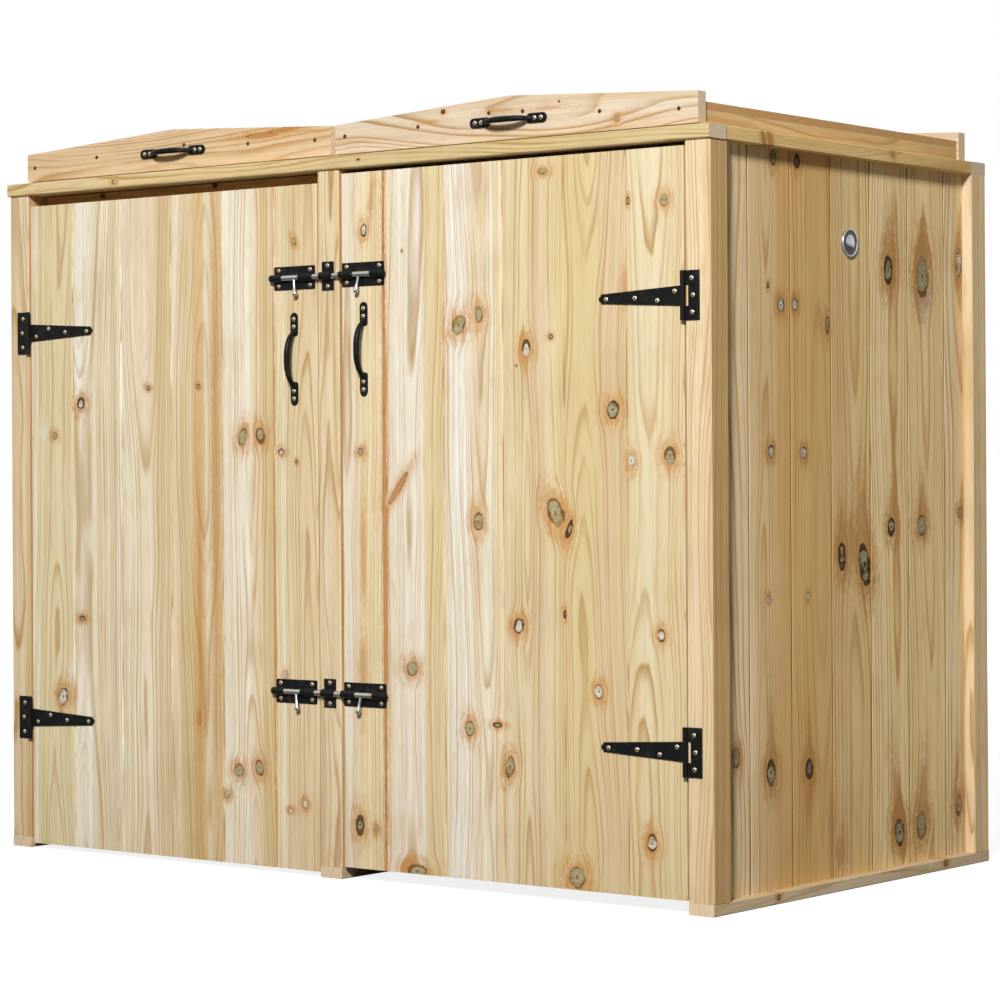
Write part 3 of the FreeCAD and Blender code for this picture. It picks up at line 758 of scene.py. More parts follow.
# Bands across each run of boards, each from its first edge in millimetres
DOOR_BANDS = {
    "right": (
        (20, PALE),
        (52, IVORY),
        (119, PALE),
        (140, WHITE),
        (168, WHITE),
        (194, YELLOW),
        (236, PALE),
        (272, PALE),
        (292, PINK),
        (310, CREAM),
        (334, YELLOW),
        (353, TAN),
        (362, HONEY),
        (405, TAN),
        (436, STRAW),
        (470, STRAW),
        (534, TAN),
        (587, HONEY),
        (700, HONEY),
    ),
    "left": (
        (-700, CREAM),
        (-676, HONEY),
        (-587, PALE),
        (-530, CREAM),
        (-498, BEIGE),
        (-484, PALE),
        (-450, CREAM),
        (-436, PINK),
        (-388, TAN),
        (-353, CREAM),
        (-335, TAN),
        (-306, UMBER),
        (-276, BEIGE),
        (-262, TAN),
        (-236, PALE),
        (-214, WHITE),
        (-196, PALE),
        (-176, PINK),
        (-150, TAN),
        (-119, CREAM),
        (-97, TAN),
        (-20, TAN),
    ),
}
WALL_BANDS = (
    (-350, PALE),
    (-268, CREAM),
    (-250, BEIGE),
    (-206, TAN),
    (-190, UMBER),
    (-38, TAN),
    (20, YELLOW),
    (77, IVORY),
    (136, IVORY),
    (192, IVORY),
    (245, IVORY),
    (307, CREAM),
    (380, CREAM),
)
LEFT_WALL_BANDS = (
    (-350, CREAM),
    (-280, PALE),
    (-206, CREAM),
    (-150, HONEY),
    (-38, CREAM),
    (20, YELLOW),
    (77, PALE),
    (136, BEIGE),
    (192, CREAM),
    (307, HONEY),
    (380, CREAM),
)
FASCIA_TINT = {"left": (0.97, 0.86, 0.76), "right": (0.87, 0.83, 0.81)}
FASCIA_KNOTS = {
    "left": (
        (9.0, -156, 4.6, 36, 0, "resin"),
        (14.5, -106, 3.4, 34, -4, "resin"),
        (10, -62, 1.6, 44, 3, "stain"),
        (0, -412, 2.2, 3, 0, "dead"),
    ),
    "right": (
        (18.5, 228, 4.0, 4.6, 0, "dead"),
        (-17.3, 563, 4.4, 4.6, 0, "live"),
        (4, 200, 1.6, 17, 0, "stain"),
        (12, 343, 1.8, 24, 0, "stain"),
        (9, 432, 1.8, 19, 0, "stain"),
        (17, 455, 1.6, 2, 0, "dead"),
    ),
}
BOTTOM_RAIL_KNOTS = ((1, -220, 4, 5, 0, "dark"), (2, 273, 5, 6, 0, "dark"))
SIDE_RAIL_KNOTS = (
    (1, -250, 12, 5, -20, "resin"),
    (0, -232, 13, 6, -20, "resin"),
    (2, 120, 4, 5, 0, "live"),
)
FRONT_RAIL_KNOTS = ((-0.5, -478, 3.6, 4.6, 0, "pale"), (1, 69, 2, 3, 0, "dead"))
HEADER_KNOTS = ((29, -556, 3.5, 5, 0, "dead"), (31, -291, 4, 6, 0, "dead"), (-8, 310, 5, 7, 0, "live"))
FRONT_RAIL_FADE = (-0.30, 0.15, (0.84, 0.84, 0.80))  # from and to X, and the tint beyond


def middle_of(node, axis):
    """The middle of a CAD node along one axis."""
    low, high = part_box(node)
    number = AXES.index(axis)
    return (low[number] + high[number]) / 2


def dress_timber(node, way, seed, **looks):
    """Pine for a single timber, with its rings about its own middle."""
    origin = (middle_of(node, way[1]), middle_of(node, way[2]))
    dress(node, pine_material("pine " + node.replace("_", " "), way, seed, origin, **looks))


def dress_boards(node, name, way, seed, face, boards, **looks):
    """Pine for a run of boards, whose faces lie at one place."""
    dress(node, pine_material("pine " + name, way, seed, (0, face), boards, **looks))


class BINSTORE_OT_door_boards(bpy.types.Operator):
    """Pine for the boards, ledges and braces of both doors"""

    bl_idname = "binstore.door_boards"
    bl_label = "Door boards"

    def execute(self, context):
        knots = {"left": LEFT_DOOR_KNOTS, "right": RIGHT_DOOR_KNOTS}
        for number, (side, sign) in enumerate(SIDES.items()):
            node = "door_boards_" + side
            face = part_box(node)[0].y
            boards = (DOOR_FIRST_JOINT[side], DOOR_COVER)
            looks = {"bands": DOOR_BANDS[side], "knots": knots[side], "loose": 0.0, "tint": DOOR_TINT[side]}
            dress_boards(node, "door " + side, "ZXY", 3 + 20 * number, face, boards, **looks)
            node = "door_ledges_" + side
            low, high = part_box(node)
            boards = (low.z - LEDGE_START, (high.z - low.z) / 2)
            dress_boards(node, "ledges " + side, "XZY", 47 + number, low.y, boards)
            node = "door_brace_" + side
            low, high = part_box(node)
            turn = sign * math.atan2(high.z - low.z, high.x - low.x - BRACE_CUT)
            looks = {"turn": (0, turn, 0), "centre": (low + high) / 2}
            dress(node, pine_material("pine brace " + side, "XZY", 61 + number, **looks))
        return {"FINISHED"}


class BINSTORE_OT_wall_boards(bpy.types.Operator):
    """Pine for the side and back walls and their battens"""

    bl_idname = "binstore.wall_boards"
    bl_label = "Wall boards"

    def execute(self, context):
        boards = (WALL_FIRST_JOINT, WALL_COVER)
        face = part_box("side_boards_right")[1].x
        # The right-hand wall's tint is painted warm side light
        looks = {"bands": WALL_BANDS, "tint": SHADED, "gap": 1.0, "dim": 0.15, "ring": 0.0075}
        looks |= {"knots": RIGHT_WALL_KNOTS, "loose": 0.0}
        dress_boards("side_boards_right", "right wall", "ZYX", 82, face, boards, **looks)
        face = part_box("side_boards_left")[0].x
        # The left and back walls are tinted with painted warm light
        looks = {"loose": 0.4, "tint": PLAIN_WALL, "gap": 0.8}
        bands = LEFT_WALL_BANDS
        dress_boards("side_boards_left", "left wall", "ZYX", 104, face, boards, bands=bands, **looks)
        low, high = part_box("back_boards")
        boards = (BACK_FIRST_JOINT, WALL_COVER)
        dress_boards("back_boards", "back wall", "ZXY", 133, high.y, boards, **looks)
        corner = low.y - BATTEN_THICK
        dress_boards("wall_battens", "battens", "YZX", 152, 0, BATTEN_RUN, corner=corner)
        return {"FINISHED"}


class BINSTORE_OT_timber_frame(bpy.types.Operator):
    """Pine for the posts, rails and header"""

    bl_idname = "binstore.timber_frame"
    bl_label = "Timber frame"

    def execute(self, context):
        for number, place in enumerate(("left", "centre", "right")):
            # Each post's side faces get painted shading
            for row, (end, flank) in enumerate(POST_FLANKS.items()):
                looks = {"loose": 0.0, "tint": FRAME_TINT, "flank": flank}
                dress_timber(f"{end}_post_{place}", "ZXY", 201 + 10 * row + number, **looks)
            looks = {"knots": BOTTOM_RAIL_KNOTS, "tint": FRAME_TINT, "loose": 0.0}
            dress_timber("bottom_rail_" + place, "YZX", 221 + number, **looks)
            looks = {"knots": SIDE_RAIL_KNOTS, "tint": SIDE_RAIL_TINT, "loose": 0.0}
            dress_timber("top_rail_" + place, "YZX", 241 + number, **looks)
        looks = {"knots": FRONT_RAIL_KNOTS, "tint": RAIL_TINT, "fade": FRONT_RAIL_FADE, "loose": 0.0}
        dress_timber("top_rail_front", "XZY", 241, **looks)
        dress_timber("top_rail_back", "XZY", 243, loose=0.3, tint=RAIL_TINT)
        # The header's tint is painted shade
        looks = {"knots": HEADER_KNOTS, "tint": HEADER_TINT, "contrast": 0.6, "dim": 0.12, "loose": 0.0}
        dress_timber("door_header", "XZY", 247, **looks)
        return {"FINISHED"}


class BINSTORE_OT_lid_timber(bpy.types.Operator):
    """Pine for the lids: boards, battens and gabled boards"""

    bl_idname = "binstore.lid_timber"
    bl_label = "Lid timber"

    def execute(self, context):
        boards = (LID_FIRST_JOINT, LID_COVER)
        for number, side in enumerate(SIDES):
            node = "lid_boards_" + side
            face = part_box(node)[1].z
            looks = {"loose": 0.4, "sawn": LID_ENDS, "gap": 0.8}
            dress_boards(node, "lid " + side, "XYZ", 301 + 20 * number, face, boards, **looks)
            dress_timber("lid_battens_" + side, "YXZ", 341 + number, tint=LID_BATTEN_TINT)
            node = "lid_fascias_" + side
            low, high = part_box(node)
            looks = {"pair": (high.y - low.y) / 2, "ring": 0.0055, "wander": 0.11, "contrast": 1.0}
            looks |= {"knots": FASCIA_KNOTS[side], "tint": FASCIA_TINT[side], "loose": 0.0}
            dress_timber(node, "XZY", 351 + number, **looks)
        return {"FINISHED"}


# Metal


@node_group
def edge_wear(web, place, width, thickness):
    """Painted highlights along the edges: where rounded normals differ from the true ones."""
    rounded = web.add("Bevel", {"Radius": width}, samples=4)[0]
    true = web.add("NewGeometry")["Normal"]
    alike = web.add("VectorMath", {0: rounded, 1: true}, operation="DOT_PRODUCT")["Value"]
    patches = web.step(web.noise(place, 150.0, 3.0), 0.35, 0.6)
    return {"mask": web.step(alike, 0.985, 0.8) * patches * thickness}


@node_group
def scuffs(web, place, roughness, variation):
    """Fine handling marks, dust and the slight orange peel of a finish."""
    broad = web.noise(place, 60.0, 4.0)
    return {
        "roughness": (broad - 0.5) * variation + roughness,
        "height": web.noise(place, 1500.0, 2.0) * 0.6 + broad,
        "dust": web.step(broad, 0.52, 0.8),
    }


def dulled(tint, share):
    """A darker shade of a colour."""
    return [part * share for part in tint[:3]] + [1]


def black_paint(web, point, dust):
    """Semi-gloss black paint with brown painted highlights on its edges and a little dust."""
    metals = bpy.context.scene.bin_store_metal
    # Painted highlights along the edges
    worn = edge_wear(web, place=point, width=0.0012, thickness=0.6)["mask"]
    dusty = web.mix(dust * 0.12, metals.black, metals.dust)
    return {"Base Color": web.mix(worn, dusty, metals.wear), "Specular IOR Level": 0.11}


# Where the disc's dark ring starts and ends: the places of its soft edges, as radii. The ring is a painted
# reflection, standing for a dark ring reflected in the polished metal
ENAMEL_INNER = (0.0127, 0.0133)
ENAMEL_OUTER = (0.0196, 0.0190)


def polished_disc(web, point, dust):
    """Polished metal with a painted dark ring that stands for a dark reflection."""
    metals = bpy.context.scene.bin_store_metal
    low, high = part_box("wall_disc")
    radius = web.length((point - (low + high) / 2) * (0, 1, 1))
    # Painted reflection: a dark, non-metallic ring
    ring = web.step(radius, *ENAMEL_INNER) * web.step(radius, *ENAMEL_OUTER)
    base = web.mix(dust, metals.disc, dulled(metals.disc, 0.7))
    return {"Base Color": web.mix(ring, base, metals.black), "Metallic": 1.0 - ring}


def plated(tint, share):
    """Plated metal that scuffs dull here and there."""

    def build(web, point, dust):
        return {"Base Color": web.mix(dust, tint, dulled(tint, share)), "Metallic": 1.0}

    return build


def metal(name):
    """One of the metal materials, made when it is first wanted."""
    if name in bpy.data.materials:
        return bpy.data.materials[name]
    metals = bpy.context.scene.bin_store_metal
    finishes = {
        "black paint": (0.42, 0.25, 0.12, 0.0002, black_paint),
        "polished disc": (0.2, 0.15, 0.08, 0.0001, polished_disc),
        "bright zinc": (0.24, 0.22, 0.08, 0.0001, plated(metals.zinc, 0.75)),
        "yellow zinc": (0.34, 0.22, 0.08, 0.0001, plated(metals.brass, 0.6)),
        "dull nail": (0.5, 0.22, 0.08, 0.0001, plated(metals.nail, 0.6)),
    }
    roughness, variation, strength, distance, build = finishes[name]
    material, web = new_material(name)
    point = web.add("TexCoord")["Object"]
    marks = scuffs(web, place=point, roughness=roughness, variation=variation)
    sockets = {"Roughness": marks["roughness"], **build(web, point, marks["dust"])}
    finish_material(web, sockets, marks["height"], strength, distance)
    return material


class BINSTORE_OT_ironwork(bpy.types.Operator):
    """Finishes for the hinges that the CAD model shapes"""

    bl_idname = "binstore.ironwork"
    bl_label = "Hinges"

    def execute(self, context):
        for side in SIDES:
            dress("hinge_straps_" + side, metal("black paint"))
            dress("lid_hinge_leaves_" + side, metal("bright zinc"))
        dress("door_hinge_flanges", metal("black paint"))
        dress("lid_hinge_fixed_leaves", metal("bright zinc"))
        return {"FINISHED"}


# Small pieces


def choose(*things):
    """Selects these objects only, or none, with the first one active."""
    bpy.ops.object.select_all(action="DESELECT")
    for thing in reversed(things):
        thing.select_set(True)
        bpy.context.view_layer.objects.active = thing


@contextmanager
def editing(thing, test=None, kind="FACE"):
    """Edit mode on one object, with all of it selected, or the faces, edges or corners that pass a test."""
    choose(thing)
    bpy.ops.object.mode_set(mode="EDIT")
    if test:
        bpy.ops.mesh.select_mode(type=kind)
        bpy.ops.mesh.select_all(action="DESELECT")
        bpy.ops.object.mode_set(mode="OBJECT")
        mesh = thing.data
        if kind == "FACE":
            for face in mesh.polygons:
                face.select = test(face.center)
        elif kind == "EDGE":
            for line in mesh.edges:
                line.select = test(*(mesh.vertices[corner].co for corner in line.vertices))
        else:
            for corner in mesh.vertices:
                corner.select = test(corner.co)
        bpy.ops.object.mode_set(mode="EDIT")
    else:
        bpy.ops.mesh.select_all(action="SELECT")
    yield
    bpy.ops.object.mode_set(mode="OBJECT")


def extrude(*shift):
    """Extrudes what is selected by a shift in millimetres."""
    move = {"value": [part * MM for part in shift]}
    bpy.ops.mesh.extrude_region_move(TRANSFORM_OT_translate=move)


def merge(distance):
    """Merges corners that lie closer than a distance in millimetres."""
    bpy.ops.mesh.select_all(action="SELECT")
    bpy.ops.mesh.remove_doubles(threshold=distance * MM)


def face_outwards():
    """Turns the normals of the mesh that is being edited outwards."""
    bpy.ops.mesh.select_all(action="SELECT")
    bpy.ops.mesh.normals_make_consistent(inside=False)


def turned(name, sides, profile):
    """A turned shape along Z. profile is (radius, height) pairs in millimetres, from the bottom up."""
    choose()
    radius, height = profile[0]
    bpy.ops.mesh.primitive_circle_add(
        vertices=sides, radius=radius * MM, fill_type="NGON", location=(0, 0, height * MM)
    )
    thing = bpy.context.object
    thing.name = name
    bpy.ops.object.transform_apply()
    with editing(thing):
        for next_radius, next_height in profile[1:]:
            extrude(0, 0, next_height - height)
            ratio = next_radius / radius
            centre = (0, 0, next_height * MM)
            bpy.ops.transform.resize(value=(ratio, ratio, 1), center_override=centre)
            radius, height = next_radius, next_height
        face_outwards()
    return thing


def screw_head(radius, rise, recess, depth):
    """A countersunk head, slightly raised, with a cross recess."""
    rim = ((radius * 0.80, -0.4), (radius, 0.0), (radius * 0.97, rise * 0.35))
    head = turned("screw_head", 16, (*rim, (radius * 0.80, rise * 0.80), (recess, rise)))
    top = rise * MM

    def at_top(place):
        return place.z > top - 1e-6

    def on_rim(corner):
        return at_top(corner) and abs(math.sin(2 * math.atan2(corner.y, corner.x))) > 0.6

    with editing(head, on_rim, "VERT"):
        bpy.ops.transform.resize(value=(0.52, 0.52, 1), center_override=(0, 0, top))
    with editing(head, at_top):
        extrude(0, 0, -depth)
        bpy.ops.transform.resize(value=(0.6, 0.6, 1), center_override=(0, 0, 0))
    return head


def placed(pattern, turn, place, name):
    """A copy of a pattern, turned and then moved to a place in millimetres."""
    mesh = pattern.data.copy()
    mesh.transform(Matrix.Translation(Vector(place) * MM) @ turn)
    thing = bpy.data.objects.new(name, mesh)
    bpy.context.collection.objects.link(thing)
    return thing


def pointing(facing, spin=0.0):
    """The turn that points Z one way, after a spin about Z."""
    turn = Vector(facing).to_track_quat("Z", "Y").to_matrix().to_4x4()
    return turn @ Matrix.Rotation(spin, 4, "Z")


def joined(things, name):
    """Makes several objects one."""
    choose(*things)
    if len(things) > 1:
        bpy.ops.object.join()
    things[0].name = name
    things[0].data.name = name
    return things[0]


def remove(*patterns):
    """Deletes patterns once their copies are made."""
    for pattern in patterns:
        mesh = pattern.data
        bpy.data.objects.remove(pattern)
        bpy.data.meshes.remove(mesh)


def modify(thing, kind, **settings):
    """Adds a modifier and applies it."""
    choose(thing)
    bpy.ops.object.modifier_add(type=kind)
    modifier = thing.modifiers[-1]
    for name, value in settings.items():
        setattr(modifier, name, value)
    bpy.ops.object.modifier_apply(modifier=modifier.name)


def finish_piece(thing, body, material, slot, stands_for=(), angle=35):
    """Smooths and paints a piece, hangs it from its body and hides the nodes that it stands for. slot is
    not used.
    """
    choose(thing)
    bpy.ops.object.shade_smooth_by_angle(angle=math.radians(angle))
    thing.data.materials.clear()
    thing.data.materials.append(material)
    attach(thing, body)
    if stands_for:
        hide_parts(*stands_for)


def fixings(name, pattern, places, body, material):
    """Copies one fixing to many places, as one piece. places are (place, facing) pairs."""
    copies = []
    for number, (place, facing) in enumerate(places):
        turn = pointing(facing, FIRST_SPIN + number * NEXT_SPIN)
        copies.append(placed(pattern, turn, place, pattern.name))
    finish_piece(joined(copies, name), body, material, "zinc_steel")


# Places of the fixings and fittings, in millimetres. Levels are heights, and rises are from a level.
FRONT = (0, -1, 0)
REAR = (0, 1, 0)
UP = (0, 0, 1)
UNTURNED = Matrix.Identity(4)
FIRST_SPIN = 0.7  # turn of the first screw's cross, and how much more each next one has
NEXT_SPIN = 2.4

HINGE_LEVELS = {"left": (894, 226), "right": (906, 238)}
BOLT_LEVELS = {"upper": 964, "lower": 296}
HANDLE_LEVEL = {"left": 833, "right": 845}
HANDLE_X = 74
LID_HANDLE_X = 357.4
LID_HANDLE_Z = 1188
PAD_THICK = 2.5

STRAP_FACE = POST_FRONT - 0.5
FLANGE_FACE = POST_FRONT - 2.0
PLATE_FACE = POST_FRONT
KEEPER_FACE = POST_FRONT - 1.5
ROD_Y = POST_FRONT - 5
BOARD_FACE = POST_FRONT + 1.5
FASCIA_FACE = POST_FRONT + 14
FASCIA_BACK = POST_FRONT + 791

STRAP_SCREWS = {
    "left": ((551.5, -1.0), (604.0, -1.0), (645.0, 6.0), (676.0, -6.7)),
    "right": ((551.5, -1.0), (604.0, -1.0), (645.0, -6.0), (676.0, 6.7)),
}
FLANGE_SCREWS = ((707.0, 25.0), (709.5, 0.0), (708.0, -25.0))
PLATE_SCREWS = ((39.0, 12.4), (39.0, -12.4), (107.0, 12.4), (107.0, -12.4))
KEEPER_SCREWS = (16.6, -16.6)
HANDLE_SCREWS = (52.0, 64.3, -52.0, -64.3)
FASCIA_SCREWS = {
    "left": ((-692, 1182.5), (-539, 1191), (-332, 1198), (-186.5, 1190), (-39.5, 1185.5)),
    "right": ((24.7, 1187), (176.7, 1191), (319, 1202), (385, 1200), (531, 1189), (675.5, 1182)),
}

LEDGE_SCREWS = (62, 100, 149, 206, 266, 323, 383, 440, 500, 557, 612, 655)
LEDGE_RISES = (-24, 24)
WALL_SCREWS = (84, 153, 209, 268, 324, 383, 439, 498, 554, 613, 669, 729)
WALL_SCREW_X = 695
BACK_SCREWS = (76, 158, 214, 273, 329, 388, 444, 503, 559, 642)
BACK_SCREW_Y = POST_FRONT + 760
BATTEN_LEVELS = (150, 580, 1010)
LID_NAILS = (60, 106, 160, 217, 273, 330, 386, 443, 499, 556, 612, 669, 720, 750)
LID_NAIL_X = (25.8, 689)
LEAF_STARTS = (124.8, 530)
LEAF_SCREWS = (9, 51)
FIXED_LEAF = (POST_FRONT + 780, 1157)  # Y and Z of the screw heads in the lid hinges
MOVING_LEAF = (POST_FRONT + 793, 1175)
# Screw heads: radius, rise, reach of the cross recess and its depth
FITTING_SCREW = (3.7, 0.9, 2.3, 1.9)
FASCIA_SCREW = (3.4, 0.55, 1.7, 0.45)
INNER_SCREW = (3.6, 0.55, 1.7, 0.45)
NAIL = 2.4
NAIL_PROFILE = ((NAIL, -0.3), (NAIL, 0.12), (NAIL * 0.7, 0.3), (NAIL * 0.3, 0.36))


class BINSTORE_OT_screws(bpy.types.Operator):
    """Cross-recess screws in the ironwork and the gabled boards"""

    bl_idname = "binstore.screws"
    bl_label = "Screws"

    def execute(self, context):
        small = screw_head(*FITTING_SCREW)
        finish = metal("yellow zinc")
        for side, sign in SIDES.items():
            strap = []
            flange = []
            for level in HINGE_LEVELS[side]:
                for x, rise in STRAP_SCREWS[side]:
                    strap.append(((sign * x, STRAP_FACE, level + rise), FRONT))
                for x, rise in FLANGE_SCREWS:
                    flange.append(((sign * x, FLANGE_FACE, level + rise), FRONT))
            for level in BOLT_LEVELS.values():
                for x, rise in PLATE_SCREWS:
                    strap.append(((sign * x, PLATE_FACE, level + rise), FRONT))
            lid = []
            for shift in HANDLE_SCREWS:
                place = (sign * HANDLE_X, BOARD_FACE - PAD_THICK, HANDLE_LEVEL[side] + shift)
                strap.append((place, FRONT))
                place = (sign * LID_HANDLE_X + shift, FASCIA_FACE - PAD_THICK, LID_HANDLE_Z)
                lid.append((place, FRONT))
            fixings("door_screws_" + side, small, strap, "door_" + side, finish)
            fixings("flange_screws_" + side, small, flange, "carcass", finish)
            fixings("lid_handle_screws_" + side, small, lid, "lid_" + side, finish)
        keeper = []
        for level in BOLT_LEVELS.values():
            keeper += [((0, KEEPER_FACE, level + rise), FRONT) for rise in KEEPER_SCREWS]
        fixings("keeper_screws", small, keeper, "carcass", finish)
        flush = screw_head(*FASCIA_SCREW)
        for side, screws in FASCIA_SCREWS.items():
            places = [((x, FASCIA_FACE, z), FRONT) for x, z in screws]
            places += [((x, FASCIA_BACK, z), REAR) for x, z in screws]
            fixings("fascia_screws_" + side, flush, places, "lid_" + side, metal("dull nail"))
        remove(small, flush)
        return {"FINISHED"}


class BINSTORE_OT_inner_fixings(bpy.types.Operator):
    """Screws on the inner side of the doors and walls, nails on the lids, screws in the lid hinges"""

    bl_idname = "binstore.inner_fixings"
    bl_label = "Inner fixings"

    def execute(self, context):
        dull = metal("dull nail")
        bright = metal("yellow zinc")
        screw = screw_head(*INNER_SCREW)
        nail = turned("nail_head", 10, NAIL_PROFILE)
        walls = []
        for side, sign in SIDES.items():
            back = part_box("door_ledges_" + side)[1].y / MM
            places = []
            for level in HINGE_LEVELS[side]:
                for x in LEDGE_SCREWS:
                    places += [((sign * x, back, level + rise), REAR) for rise in LEDGE_RISES]
            fixings("ledge_screws_" + side, screw, places, "door_" + side, dull)
            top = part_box("lid_boards_" + side)[1].z / MM
            places = []
            for y in LID_NAILS:
                places += [((sign * x, POST_FRONT + y, top), UP) for x in LID_NAIL_X]
            fixings("lid_nails_" + side, nail, places, "lid_" + side, dull)
            leaf = [sign * (start + shift) for start in LEAF_STARTS for shift in LEAF_SCREWS]
            places = [((x, *FIXED_LEAF), UP) for x in leaf]
            fixings("hinge_screws_fixed_" + side, screw, places, "carcass", bright)
            places = [((x, *MOVING_LEAF), REAR) for x in leaf]
            fixings("hinge_screws_moving_" + side, screw, places, "lid_" + side, bright)
            for level in BATTEN_LEVELS:
                for y in WALL_SCREWS:
                    walls.append(((sign * WALL_SCREW_X, POST_FRONT + y, level), (-sign, 0, 0)))
                walls += [((sign * x, BACK_SCREW_Y, level), FRONT) for x in BACK_SCREWS]
        fixings("wall_screws", screw, walls, "carcass", dull)
        remove(screw, nail)
        return {"FINISHED"}


# Barrel bolts, drawn in millimetres from the axis of the rod or the face of the plate
ROD_START = 13.7
KNOB_X = 69.5
KNOB_LEAN = 10
KNOB_TILT = 6
ROD_PROFILE = ((3.5, 0.0), (4.5, 1.0), (4.5, 83.0), (3.5, 84.0))
KNOB_PROFILE = (
    (2.4, 4.2),
    (2.4, 14.0),
    (2.7, 18.5),
    (3.7, 22.0),
    (4.25, 25.0),
    (4.3, 27.0),
    (3.9, 29.0),
    (2.9, 30.2),
    (1.4, 30.7),
)
SLEEVE = 6.1
BORE = 4.9
SLEEVE_PROFILE = ((BORE, 14.0), (BORE, 0.0), (SLEEVE, 0.0), (SLEEVE, 28.0), (BORE, 28.0), (BORE, 14.1))
CAP_PROFILE = (
    (3.2, 0.0),
    (4.9, 0.5),
    (5.8, 1.5),
    (SLEEVE, 3.0),
    (SLEEVE, 26.0),
    (BORE, 26.0),
    (BORE, 4.0),
)
PLATE = ((29, 0, -19), (117, 1.5, 19))
PLATE_ROUND = 2.0
PLATE_EDGE = 0.35  # width of the slope round the plate's face, and how far the face stands out
PLATE_RISE = 0.25
SLEEVE_ENDS = (29, 121)
SLEEVE_FEET = ((29, 57), (95, 117))
FOOT_WIDE = 5.6
FOOT_START = 3.8  # how far behind the sleeve's axis the feet start, and how far into the plate they end
FOOT_END = 0.6
KEEPER_WIDE = 25
KEEPER_REACH = 23
KEEPER_BOW = 5.95
KEEPER_DEEP = 4.25
KEEPER_THICK = 1.5


def flipped(thing):
    """The same mesh reflected in the plane between the doors."""
    thing.data.transform(Matrix.Scale(-1, 4, (1, 0, 0)))
    thing.data.flip_normals()
    return thing


def block_between(low, high, name="block"):
    """A box between two corners in millimetres."""
    choose()
    low, high = Vector(low) * MM, Vector(high) * MM
    bpy.ops.mesh.primitive_cube_add(size=1, location=(low + high) / 2)
    thing = bpy.context.object
    thing.name = name
    thing.scale = high - low
    bpy.ops.object.transform_apply()
    return thing


def bolt_plate():
    """The plate of the right-hand bolt, its two sleeves and the cap, with its face at Y = 0."""
    plate = block_between(*PLATE, "bolt_plate")

    def corner(first, second):
        return abs(first.y - second.y) > 1 * MM

    def front(middle):
        return middle.y < 0.01 * MM

    def across_bore(middle):
        return math.hypot(middle.x, middle.y) < 0.1 * MM

    with editing(plate, corner, "EDGE"):
        bpy.ops.mesh.bevel(offset=PLATE_ROUND * MM, segments=4)
    with editing(plate, front):
        bpy.ops.mesh.inset(thickness=PLATE_EDGE * MM)
        bpy.ops.transform.translate(value=(0, -PLATE_RISE * MM, 0))
    sleeve = turned("sleeve", 32, SLEEVE_PROFILE)
    with editing(sleeve, across_bore):
        bpy.ops.mesh.delete(type="FACE")
        merge(0.2)
        face_outwards()
    closed = turned("capped_sleeve", 32, CAP_PROFILE)
    axis = ROD_Y - PLATE_FACE
    start, end = SLEEVE_ENDS
    parts = [plate, placed(sleeve, pointing((1, 0, 0)), (start, axis, 0), "sleeve")]
    parts.append(placed(closed, pointing((-1, 0, 0)), (end, axis, 0), "sleeve"))
    for first, last in SLEEVE_FEET:
        low = (first, axis + FOOT_START, -FOOT_WIDE)
        parts.append(block_between(low, (last, FOOT_END, FOOT_WIDE)))
    remove(sleeve, closed)
    return joined(parts, "bolt_plate")


def keeper_strip():
    """A strip bent over a bolt on the centre post, about the axis of the rod."""
    leg = KEEPER_REACH - KEEPER_BOW
    choose()
    place = (0, KEEPER_DEEP * MM, -(KEEPER_REACH + KEEPER_BOW) / 2 * MM)
    bpy.ops.mesh.primitive_plane_add(size=1, location=place)
    strip = bpy.context.object
    strip.name = "keeper"
    strip.scale = (KEEPER_WIDE * MM, leg * MM, 1)
    strip.rotation_euler = (math.radians(90), 0, 0)
    bpy.ops.object.transform_apply()

    def top(first, second):
        return min(first.z, second.z) > -(KEEPER_BOW + 0.1) * MM

    with editing(strip, top, "EDGE"):
        extrude(0, -KEEPER_DEEP, 0)
        bpy.ops.mesh.spin(steps=14, angle=math.pi, center=(0, 0, 0), axis=(1, 0, 0))
        extrude(0, KEEPER_DEEP, 0)
        extrude(0, 0, leg)
        merge(0.05)
        face_outwards()
    modify(strip, "SOLIDIFY", thickness=KEEPER_THICK * MM, offset=0.0)
    with editing(strip):
        face_outwards()
    return strip


